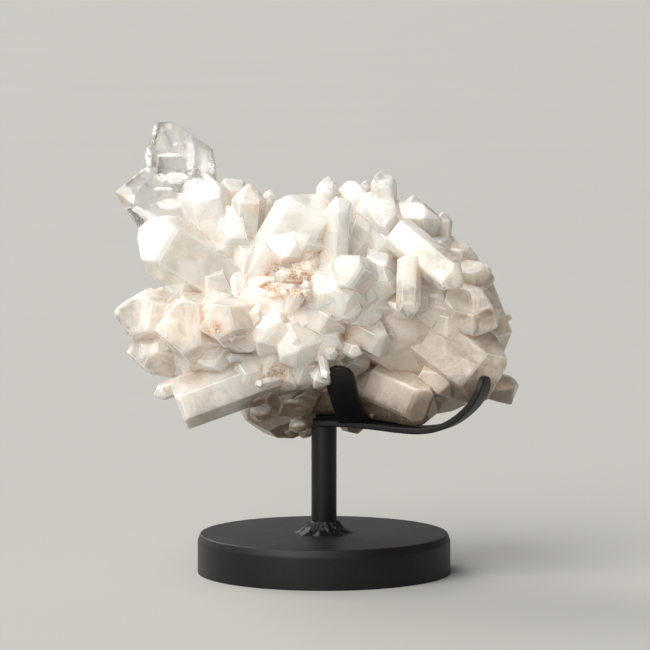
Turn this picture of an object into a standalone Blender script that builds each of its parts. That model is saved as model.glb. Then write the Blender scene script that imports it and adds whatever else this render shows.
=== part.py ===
"""A quartz crystal cluster lying in a three-armed stand of black painted steel.

The origin is the centre of the base plate's underside, on the post's axis. +Z is up, the front is
towards -Y. All driving sizes are in millimetres and are turned into metres where they meet a mesh.
"""

import math
import random
from typing import NamedTuple

import bmesh
import bpy
from mathutils import Matrix, Vector, noise

MM = 0.001
GAP = 0.3  # clearance between neighbouring pieces

# Stand
BASE_RADIUS = 63.5
BASE_THICKNESS = 19.8
CHAMFER_IN = 1.4
CHAMFER_DOWN = 3.6
FOOT_EDGE = 0.5
POST_RADIUS = 6.35
POST_TOP = 73.6
WELD_RADIUS = 14.0
WELD_TOP_RADIUS = 7.6
WELD_HEIGHT = 6.0
BAR_WIDTH = 15.0
BAR_THICKNESS = 3.2
BAR_EDGE = 0.7
CRADLE_CLEARANCE = 0.4  # what the bars are grown by to trim the cluster around them

# Bar centre lines, from the hub outwards
RIGHT_ARM_PATH = [
    (-5.5, 1.0, 75.6), (6, -2, 75.8), (16, -6, 75.8), (28, -11.5, 75.2), (40, -17.5, 74.4), (50, -22, 74.4),
    (59, -25.5, 76.4), (67, -28.5, 81), (74, -31.5, 88), (78, -33, 95), (79.2, -33.6, 102.5),
]
FRONT_ARM_PATH = [(14.6, -13.9, 78.2), (12.6, -20, 83.6), (10.2, -27.5, 91.5), (8.2, -34, 99.6), (6.9, -38.4, 107.6)]
REAR_ARM_PATH = [(3.4, 8.4, 76.2), (3, 20, 76.4), (2, 33, 78.6), (1, 43, 85), (0, 49, 94), (-1, 51.5, 104.5)]

# Quartz
RHOMB_ANGLE = math.radians(38.2)  # between a prism face and the pyramid face above it
FACE_FIT = 0.93  # mean of a hexagon's inner and outer radius, for a given width
FACE_SPREAD = 0.10  # how uneven the six prism faces are
MINOR_FACE_BACK = (0.05, 0.22)  # how far three of the six pyramid faces stand back, in widths


class Crystal(NamedTuple):
    """One quartz prism: where its end and its root are, its two widths and how its end is worn."""

    name: str
    tip: tuple
    root: tuple
    width: float  # across, as seen from the front
    depth: float  # across, front to back
    roll: float = 0.0
    blunt: float = 0.0  # length missing from the point
    offset: float = 0.0  # how far the prism stands to the side of its point


class Lump(NamedTuple):
    """One rounded mass of quartz between the crystals."""

    name: str
    centre: tuple
    half_size: tuple


CRYSTALS = [
    # The two water-clear crystals
    Crystal("clear_upper", (-78.5, 6, 225), (-74, 10, 176), 37, 13, 0, 4, 6),
    Crystal("clear_lower", (-104, 2, 192), (-58, 12, 179), 32, 15, 0, 1),
    # Left side
    Crystal("left_shoulder", (-91, -24, 174.5), (-28, -4, 134), 32.5, 29, 8, 3, -1.5),
    Crystal("left_long", (-104, -12, 132.5), (-48, -2, 120), 28, 27, 5, 1, 1),
    Crystal("left_under", (-95, -10, 114.5), (-48, 4, 106), 24, 22, 30, 6),
    Crystal("left_front", (-80, -40, 126.5), (-38, -6, 124), 34, 30, 12, 4),
    Crystal("iron_stained", (-58, -46, 128), (-14, -12, 131), 22, 21, 15, 4),
    Crystal("slab", (-71.5, -30, 87), (-12, -14, 107), 26, 24, 0, 15),
    Crystal("slab_splinter", (-84.5, -26, 92), (-62, -20, 101), 9, 8, 0, 0),
    # Top, from left to right
    Crystal("top_left_wide", (-61, -6, 197), (-50, -6, 152), 26, 24, 0, 5),
    Crystal("top_left_back", (-46, 3, 197), (-44, 3, 165), 15, 15, 20, 5),
    Crystal("top_left_ribbed", (-37, -12, 196), (-41, -6, 148), 17, 16, 10, 1),
    Crystal("top_left_small", (-27, -8, 193), (-29, -4, 170), 7, 7, 0, 0),
    Crystal("top_slanted", (-4, -20, 187), (-29, -10, 144), 33, 24, 0, 10),
    Crystal("top_lens", (8, -28, 190), (6, -16, 150), 14, 14, 20, 3),
    Crystal("top_spike", (2.5, -10, 200), (-1, -8, 165), 11, 11, 0, 0),
    Crystal("top_roof", (12, -3, 196), (19, -2, 155), 20, 18, 0, 3, 4),
    Crystal("top_tiny", (21, 2, 197), (19, 4, 178), 6, 6, 0, 0),
    Crystal("top_tall", (29.3, -13, 202.5), (31.3, -9, 155), 13, 13, 0, 1),
    Crystal("top_bump", (45, 0, 190), (40, 2, 168), 9, 9, 10, 0),
    Crystal("top_right", (58, -12, 177), (30, -6, 178), 18, 17, 25, 2),
    Crystal("right_spike", (59.5, -4, 182), (57.5, -2, 155), 9, 8, 0, 0),
    # Right side
    Crystal("right_clear", (67, -42, 148), (36, -20, 172), 18, 15, 0, 2),
    Crystal("hanging_clear", (41, -44, 131), (42, -32, 160), 12.5, 11, 0, 0),
    Crystal("right_wall", (85, 4, 103), (70, 8, 142), 28, 40, 12, 3),
    Crystal("right_rib_upper", (77, -4, 157.5), (48, 0, 162), 14, 16, 0, 1),
    Crystal("right_rib_lower", (85, -8, 148), (55, -4, 152), 15, 18, 10, 1),
    Crystal("right_pane", (86, -24, 131), (44, -10, 140), 24, 22, 30, 5),
    Crystal("right_great", (85, -14, 96), (31, -4, 138), 34, 36, 0, 8),
    Crystal("right_knob", (95.5, -4, 91), (68, 0, 99), 15, 18, 30, 5),
    # Middle
    Crystal("heart_facing", (10, -52, 157), (32, -6, 142), 19, 18, 0, 6),
    Crystal("heart_cross", (18, -42, 139), (-14, -22, 128), 17, 16, 0, 3),
    Crystal("heart_lower", (32, -31, 117), (-2, -24, 134), 18, 17, 20, 3),
    Crystal("heart_pale", (-24, -36, 116), (14, -16, 128), 26, 24, 20, 9),
    Crystal("heart_needle", (-24, -42, 153), (18, -30, 149), 8, 8, 0, 1),
    Crystal("heart_shard", (-12, -44, 148), (12, -34, 143), 6, 6, 20, 0),
    Crystal("front_chip", (18, -38, 114), (6, -26, 118), 8, 8, 0, 1),
    Crystal("front_chip_low", (-3, -37, 99), (4, -20, 112), 12, 12, 0, 3),
    Crystal("under_nodule", (54, -20, 83), (24, -8, 95), 25, 24, 0, 5),
    # Back, from left to right
    Crystal("back_left_long", (-74, 40, 156), (-30, 12, 140), 22, 22, 10, 2),
    Crystal("back_left_low", (-72, 44, 112), (-22, 14, 118), 24, 24, 0, 3),
    Crystal("back_left_high", (-56, 36, 184), (-24, 10, 146), 23, 20, 20, 1),
    Crystal("back_left_spike", (-84, 20, 172), (-44, 8, 148), 15, 14, 0, 0),
    Crystal("back_top", (-14, 34, 184), (-6, 10, 146), 20, 19, 0, 2),
    Crystal("back_top_right", (28, 34, 188), (12, 10, 146), 22, 20, 30, 1),
    Crystal("back_middle", (-22, 64, 148), (-12, 12, 134), 28, 26, 0, 3),
    Crystal("back_middle_right", (34, 62, 140), (14, 10, 130), 24, 26, 20, 2),
    Crystal("back_right", (74, 44, 158), (34, 10, 136), 24, 22, 0, 1),
    Crystal("back_right_spike", (56, 40, 178), (30, 12, 148), 15, 15, 10, 0),
    Crystal("back_low_right", (66, 46, 108), (24, 12, 118), 26, 24, 30, 3),
    Crystal("back_low_left", (-40, 54, 100), (-14, 14, 116), 22, 20, 0, 1),
    Crystal("back_low_middle", (14, 58, 116), (8, 16, 116), 18, 17, 0, 2),
]

LUMPS = [
    Lump("core", (-8, 4, 132), (50, 27, 34)),
    Lump("core_left", (-46, 0, 122), (32, 20, 22)),
    Lump("core_right", (42, 0, 128), (38, 26, 32)),
    Lump("core_low", (4, 14, 99), (40, 22, 20)),
    Lump("keel_left", (-21, 15, 86.5), (25, 14, 20)),
    Lump("keel_right", (14, 21, 83), (10, 10, 17)),
    Lump("keel_front", (31, 0, 89), (23, 16, 14)),
    Lump("keel_far", (52, 4, 98.5), (28, 18, 20)),
]

# Seeded small crystals: centre of the patch, how far it spreads, how many
DRUSE_PATCHES = [
    ((-14, -36, 142), 8, 4), ((-2, -32, 112), 9, 4), ((28, -28, 128), 8, 3), ((-34, -24, 104), 8, 3),
    ((-10, 26, 158), 22, 6), ((40, 30, 150), 18, 5), ((-50, 28, 130), 18, 5), ((0, 36, 120), 20, 4),
]
DRUSE_LENGTH = (6, 12)
DRUSE_WIDTH = (3.5, 7)
HEART = Vector((-5, 6, 128))  # what the small crystals point away from


def put(collection, name, mesh):
    """Adds an object with this mesh to the collection."""
    piece = bpy.data.objects.new(name, mesh)
    collection.objects.link(piece)
    return piece


def mesh_from(bm, name):
    """Turns a bmesh into a mesh and frees it."""
    mesh = bpy.data.meshes.new(name)
    bm.to_mesh(mesh)
    bm.free()
    return mesh


def finish(name, colour, roughness, metallic=0.0, coat=0.0):
    """A Principled material with these values."""
    material = bpy.data.materials.new(name)
    material.use_nodes = True
    shader = material.node_tree.nodes["Principled BSDF"]
    shader.inputs["Base Color"].default_value = (*colour, 1.0)
    shader.inputs["Roughness"].default_value = roughness
    shader.inputs["Metallic"].default_value = metallic
    shader.inputs["Coat Weight"].default_value = coat
    return material


def add_modifier(piece, kind, **settings):
    """Adds a modifier to the piece and sets its values."""
    modifier = piece.modifiers.new(kind.title(), kind)
    for key, value in settings.items():
        setattr(modifier, key, value)
    return modifier


def evaluated_mesh(piece):
    """The piece's mesh with its modifiers applied, in its own coordinates."""
    graph = bpy.context.evaluated_depsgraph_get()
    return bpy.data.meshes.new_from_object(piece.evaluated_get(graph))


def apply_boolean(piece, others, operation):
    """Unites others with the piece, or cuts them out of it, one after another, and removes them."""
    for other in others:
        step = add_modifier(piece, "BOOLEAN", operation=operation, object=other, solver="EXACT")
        result = evaluated_mesh(piece)
        piece.modifiers.remove(step)
        piece.data = result
        bpy.data.objects.remove(other)


def cleave(bm, point, normal):
    """Cuts away what lies beyond the plane and closes the cut with one face."""
    everything = bm.verts[:] + bm.edges[:] + bm.faces[:]
    cut = bmesh.ops.bisect_plane(bm, geom=everything, plane_co=point, plane_no=normal, clear_outer=True)
    rim = [item for item in cut["geom_cut"] if isinstance(item, bmesh.types.BMEdge)]
    if rim:
        bmesh.ops.contextual_create(bm, geom=rim)


def crystal_axes(tip, root, roll):
    """The crystal's long axis, and two directions across it: sideways and front to back."""
    along = (tip - root).normalized()
    back = Vector((0, 1, 0))
    if abs(along.dot(back)) > 0.93:
        back = Vector((0, 0, 1))
    back = (back - along * back.dot(along)).normalized()
    side = back.cross(along)
    turn = Matrix.Rotation(math.radians(roll), 3, along)
    return along, side, back, turn


def crystal_mesh(crystal, dice):
    """A block cleaved to six prism faces and six pyramid faces, with uneven distances."""
    tip = Vector(crystal.tip)
    root = Vector(crystal.root)
    along, side, back, turn = crystal_axes(tip, root, crystal.roll)
    apex = tip + along * crystal.blunt
    length = (apex - root).length
    block = Matrix((side * crystal.width * 3, back * crystal.depth * 3, along * length)).transposed().to_4x4()
    bm = bmesh.new()
    bmesh.ops.create_cube(bm, size=1.0, matrix=Matrix.Translation((apex + root) / 2) @ block)
    bmesh.ops.recalc_face_normals(bm, faces=bm.faces)
    for k in range(6):
        outward = turn @ (side * math.cos(math.radians(30 + 60 * k)) + back * math.sin(math.radians(30 + 60 * k)))
        reach = math.hypot(outward.dot(side) * crystal.width / 2, outward.dot(back) * crystal.depth / 2)
        reach *= FACE_FIT * (1 + FACE_SPREAD * dice.uniform(-1, 1))
        cleave(bm, root + side * crystal.offset + outward * reach, outward)
        step_back = dice.uniform(*MINOR_FACE_BACK) * crystal.width if k % 2 else 0.0
        slope = outward * math.cos(RHOMB_ANGLE) + along * math.sin(RHOMB_ANGLE)
        cleave(bm, apex + slope * step_back, slope)
    if crystal.blunt:
        tilt = side * dice.uniform(-0.25, 0.25) + back * dice.uniform(-0.3, 0.3)
        cleave(bm, tip, (along + tilt).normalized())
    bmesh.ops.remove_doubles(bm, verts=bm.verts, dist=0.01)
    bmesh.ops.scale(bm, verts=bm.verts, vec=(MM, MM, MM))
    return mesh_from(bm, crystal.name)


def lump_mesh(lump):
    """A coarse ball stretched to size, with its corners pushed in and out."""
    bm = bmesh.new()
    bmesh.ops.create_icosphere(bm, subdivisions=2, radius=1.0)
    for vertex in bm.verts:
        swell = 1 + 0.16 * noise.noise(vertex.co * 1.9 + Vector(lump.centre))
        size = Vector(lump.half_size) * swell
        vertex.co = (Vector(lump.centre) + Vector(a * b for a, b in zip(vertex.co, size))) * MM
    return mesh_from(bm, lump.name)


def druse(dice):
    """Yields the small crystals of every patch, pointing away from the heart."""
    for number, (centre, spread, count) in enumerate(DRUSE_PATCHES):
        for k in range(count):
            place = Vector(centre) + Vector(dice.uniform(-spread, spread) for _ in range(3))
            away = (place - HEART).normalized()
            away = (away + Vector(dice.uniform(-0.5, 0.5) for _ in range(3))).normalized()
            tip = place + away * dice.uniform(*DRUSE_LENGTH)
            width = dice.uniform(*DRUSE_WIDTH)
            name = f"small_{number}_{k}"
            yield Crystal(name, tuple(tip), tuple(place - away * 12), width, width, dice.uniform(0, 60))


def smooth_path(points):
    """A dense line of points on a smooth curve through the given ones."""
    count = len(points)
    knots = [Vector(p) for p in points]
    dense = []
    for k in range(count - 1):
        before, after = knots[max(k - 1, 0)], knots[min(k + 2, count - 1)]
        start, end = knots[k], knots[k + 1]
        for step in range(3):
            t = step / 3
            bend = ((end - before) * t * (1 - t) ** 2 - (after - start) * t * t * (1 - t)) / 2
            dense.append(start + (end - start) * (3 * t * t - 2 * t ** 3) + bend)
    return dense + [knots[-1]]


def bar_frame(path, k, heading):
    """The bar's direction at point k and the level direction across it, square to its heading."""
    ahead = (path[min(k + 1, len(path) - 1)] - path[max(k - 1, 0)]).normalized()
    across = Vector((-heading.y, heading.x, 0)).normalized()
    return ahead, (across - ahead * across.dot(ahead)).normalized()


def bar(collection, name, points, heading, round_start=False, grow=0.0):
    """A flat blank with a round end, bent along its path and given its thickness."""
    path = smooth_path(points)
    half = BAR_WIDTH / 2 + grow
    lengths = [0.0]
    for a, b in zip(path, path[1:]):
        lengths.append(lengths[-1] + (b - a).length)
    total = lengths[-1]
    stations = [s for s in lengths if s < total - half] + [total - half * math.cos(math.radians(a))
                                                          for a in range(0, 90, 15)]
    stations = [s for s in stations if not round_start or s > half]
    if round_start:
        stations = [half - half * math.cos(math.radians(a)) for a in range(15, 105, 15)] + stations
    bm = bmesh.new()
    rows = []
    for s in sorted(set(round(max(s, 0), 4) for s in stations)):
        k = max(i for i, at in enumerate(lengths) if at <= s + 1e-6)
        k = min(k, len(path) - 2)
        t = (s - lengths[k]) / (lengths[k + 1] - lengths[k])
        place = path[k].lerp(path[k + 1], t)
        across = bar_frame(path, k, heading)[1].lerp(bar_frame(path, k + 1, heading)[1], t).normalized()
        near_end = min(1.0, (total - s) / half)
        if round_start:
            near_end = min(near_end, s / half)
        reach = half * math.sqrt(max(0.0, 1 - (1 - near_end) ** 2))
        reach = max(reach, 0.25 * half)
        rows.append([bm.verts.new((place + across * reach * side) * MM) for side in (-1, -0.5, 0, 0.5, 1)])
    for first, second in zip(rows, rows[1:]):
        for a, b, c, d in zip(first, first[1:], second[1:], second):
            bm.faces.new((a, b, c, d))
    piece = put(collection, name, mesh_from(bm, name))
    add_modifier(piece, "SOLIDIFY", thickness=(BAR_THICKNESS + 2 * grow) * MM, offset=0.0, use_even_offset=True)
    if not grow:
        add_modifier(piece, "BEVEL", width=BAR_EDGE * MM, segments=1, angle_limit=math.radians(50))
    return piece


def base_disc(collection):
    """The base plate, turned from its half profile."""
    top = BASE_THICKNESS
    outer = BASE_RADIUS
    profile = [
        (0, top), (outer - CHAMFER_IN - 0.6, top), (outer - CHAMFER_IN, top - 0.5), (outer, top - CHAMFER_DOWN),
        (outer, FOOT_EDGE), (outer - FOOT_EDGE, 0), (0, 0),
    ]
    mesh = bpy.data.meshes.new("base_disc")
    vertices = [(r * MM, 0, z * MM) for r, z in profile]
    mesh.from_pydata(vertices, [(k, k + 1) for k in range(len(profile) - 1)], [])
    piece = put(collection, "base_disc", mesh)
    add_modifier(piece, "SCREW", steps=72, render_steps=72, use_merge_vertices=True, merge_threshold=0.00001)
    return piece


def rod(name, radius, bottom, top, segments=40):
    """A plain round bar standing on the Z axis."""
    bm = bmesh.new()
    lift = Matrix.Translation((0, 0, (bottom + top) / 2 * MM))
    bmesh.ops.create_cone(bm, cap_ends=True, segments=segments, radius1=radius * MM, radius2=radius * MM,
                          depth=(top - bottom) * MM, matrix=lift)
    return mesh_from(bm, name)


def foot_weld(collection):
    """A low cone around the post's foot, its skirt pushed in and out, bored for the post."""
    bottom = BASE_THICKNESS + GAP
    bm = bmesh.new()
    lift = Matrix.Translation((0, 0, (bottom + WELD_HEIGHT / 2) * MM))
    bmesh.ops.create_cone(bm, cap_ends=True, segments=36, radius1=WELD_RADIUS * MM, radius2=WELD_TOP_RADIUS * MM,
                          depth=WELD_HEIGHT * MM, matrix=lift)
    sides = [edge for edge in bm.edges if abs(edge.verts[0].co.z - edge.verts[1].co.z) > MM]
    bmesh.ops.subdivide_edges(bm, edges=sides, cuts=3)
    for vertex in bm.verts:
        up = (vertex.co.z / MM - bottom) / WELD_HEIGHT
        angle = math.atan2(vertex.co.y, vertex.co.x)
        lumps = 0.05 * math.sin(5 * angle + 0.7) + 0.06 * math.sin(8 * angle + 2.1) + 0.03 * math.sin(13 * angle)
        hollow = -0.16 * math.sin(math.pi * min(up, 1.0))
        scale = 1 + lumps * (1 - 0.6 * up) + hollow
        vertex.co.x *= scale
        vertex.co.y *= scale
    piece = put(collection, "foot_weld", mesh_from(bm, "foot_weld"))
    bore = put(collection, "bore", rod("bore", POST_RADIUS + GAP, 0, POST_TOP))
    apply_boolean(piece, [bore], "DIFFERENCE")
    return piece


def quartz_cluster(collection, arms):
    """All crystals and lumps united in one solid, trimmed clear of the stand."""
    dice = random.Random(7)
    piece = put(collection, "quartz_cluster", lump_mesh(LUMPS[0]))
    lumps = [put(collection, lump.name, lump_mesh(lump)) for lump in LUMPS[1:]]
    grown = [put(collection, c.name, crystal_mesh(c, dice)) for c in CRYSTALS]
    small = [put(collection, c.name, crystal_mesh(c, dice)) for c in druse(dice)]
    apply_boolean(piece, lumps + grown + small, "UNION")
    bore = put(collection, "post_space", rod("post_space", POST_RADIUS + CRADLE_CLEARANCE, 0, POST_TOP + GAP, 24))
    apply_boolean(piece, arms + [bore], "DIFFERENCE")
    tidy_mesh(piece.data)
    return piece


def tidy_mesh(mesh):
    """Closes hairline slivers that the unions leave and keeps the largest closed body."""
    bm = bmesh.new()
    bm.from_mesh(mesh)
    bmesh.ops.triangulate(bm, faces=bm.faces)
    bmesh.ops.remove_doubles(bm, verts=bm.verts, dist=0.00002)
    bmesh.ops.dissolve_degenerate(bm, edges=bm.edges, dist=0.00001)
    bmesh.ops.triangulate(bm, faces=bm.faces)
    drop_small_bodies(bm)
    bm.to_mesh(mesh)
    bm.free()


def drop_small_bodies(bm):
    """Deletes every connected body but the one with the most faces."""
    left = set(bm.faces)
    bodies = []
    while left:
        stack = [left.pop()]
        body = set(stack)
        while stack:
            for edge in stack.pop().edges:
                for face in edge.link_faces:
                    if face in left:
                        left.remove(face)
                        body.add(face)
                        stack.append(face)
        bodies.append(body)
    bodies.sort(key=len)
    extra = [face for body in bodies[:-1] for face in body]
    if extra:
        bmesh.ops.delete(bm, geom=extra, context="FACES")


def main():
    """Builds the stand, then the cluster that lies in it."""
    for old in list(bpy.data.objects):
        bpy.data.objects.remove(old)
    collection = bpy.data.collections.new("quartz_crystal")
    bpy.context.scene.collection.children.link(collection)

    black = finish("black_paint", (0.012, 0.012, 0.013), 0.45)
    quartz = finish("quartz", (0.86, 0.80, 0.75), 0.12, coat=0.6)

    disc = base_disc(collection)
    post = put(collection, "post", rod("post", POST_RADIUS, BASE_THICKNESS + GAP, POST_TOP))
    weld = foot_weld(collection)

    headings = {
        "right_arm": (RIGHT_ARM_PATH, Vector((0.93, -0.37, 0)), True),
        "front_arm": (FRONT_ARM_PATH, Vector((-0.2, -0.98, 0)), False),
        "rear_arm": (REAR_ARM_PATH, Vector((-0.05, 1.0, 0)), False),
    }
    arms = [bar(collection, name, *shape) for name, shape in headings.items()]
    spaces = [bar(collection, name + "_space", *shape, grow=CRADLE_CLEARANCE) for name, shape in headings.items()]
    cluster = quartz_cluster(collection, spaces)

    for piece in [disc, post, weld, *arms]:
        piece.data.materials.append(black)
    cluster.data.materials.append(quartz)
    for piece in [disc, post, weld]:
        piece.data.shade_smooth()
        piece.data.set_sharp_from_angle(angle=math.radians(35))


main()
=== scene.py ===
"""Looks of a quartz crystal cluster lying in a three-armed cradle stand of black coated steel.

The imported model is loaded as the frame, and finer pieces stand in the places of its nodes. Sizes are in
millimetres until a mesh is made. +Z is up, the front is towards -Y, the origin is under the base plate.
"""

from __future__ import annotations

import logging
import math
import random
from dataclasses import dataclass, field
from enum import Enum
from itertools import combinations, product
from typing import Any, Sequence

import bmesh
import bpy
import numpy as np
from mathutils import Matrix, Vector

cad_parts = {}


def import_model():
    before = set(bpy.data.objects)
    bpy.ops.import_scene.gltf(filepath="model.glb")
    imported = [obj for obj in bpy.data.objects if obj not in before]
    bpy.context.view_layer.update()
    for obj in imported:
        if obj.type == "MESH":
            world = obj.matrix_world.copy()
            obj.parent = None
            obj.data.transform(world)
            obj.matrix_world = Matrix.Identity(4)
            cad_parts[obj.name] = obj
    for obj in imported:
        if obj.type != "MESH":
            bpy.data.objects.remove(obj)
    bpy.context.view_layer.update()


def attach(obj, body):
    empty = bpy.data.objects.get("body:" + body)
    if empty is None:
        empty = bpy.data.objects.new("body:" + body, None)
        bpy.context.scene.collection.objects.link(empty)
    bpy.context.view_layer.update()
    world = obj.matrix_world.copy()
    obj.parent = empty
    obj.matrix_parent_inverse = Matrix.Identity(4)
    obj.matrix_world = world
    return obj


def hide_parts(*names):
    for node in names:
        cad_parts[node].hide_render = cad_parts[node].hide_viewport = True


LOG = logging.getLogger("quartz_crystal")
MM = 0.001
Array = np.ndarray

# Crystal form, as the CAD solids have it
RHOMB_ANGLE = math.radians(38.2)
FACE_FIT = 0.93
FACE_SPREAD = 0.10
MINOR_FACE_BACK = (0.05, 0.22)
CAD_SEED = 7


class FaceKind(Enum):
    """What a face of a crystal is, which decides its lines and its wear."""

    PRISM = 0
    RHOMB = 1
    BROKEN = 2
    WORN_EDGE = 3
    FILM = 4


class Habit(Enum):
    """How a body of quartz looks: its grown form or a broken mass."""

    CRYSTAL = 0
    MASS = 1


@dataclass(frozen=True)
class Tone:
    """What a crystal is like inside: how milky, how stained, how rosy, each from 0 to 1."""

    milk: float = 0.8
    stain: float = 0.0
    rosy: float = 0.3


@dataclass(frozen=True)
class Crystal:
    """One quartz prism: where its end and its root are, its two widths and how its end is worn."""

    name: str
    tip: tuple[float, float, float]
    root: tuple[float, float, float]
    width: float
    depth: float
    roll: float = 0.0
    blunt: float = 0.0
    offset: float = 0.0
    tone: Tone = Tone()

    def axes(self) -> tuple[Array, Array, Array]:
        """The unit vectors sideways, front to back and along the prism towards its end."""
        along = unit(np.subtract(self.tip, self.root))
        back = np.array((0.0, 0.0, 1.0) if abs(along[1]) > 0.93 else (0.0, 1.0, 0.0))
        back = unit(back - along * (back @ along))
        return np.cross(back, along), back, along


WATER = Tone(0.0, 0.0, 0.0)
CLEAR_UPPER = Crystal("clear_upper", (-78.5, 6, 225), (-74, 10, 176), 37, 13, 0, 4, 6, WATER)
CLEAR_LOWER = Crystal("clear_lower", (-104, 2, 192), (-58, 12, 179), 32, 15, 0, 1, 0, WATER)

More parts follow.
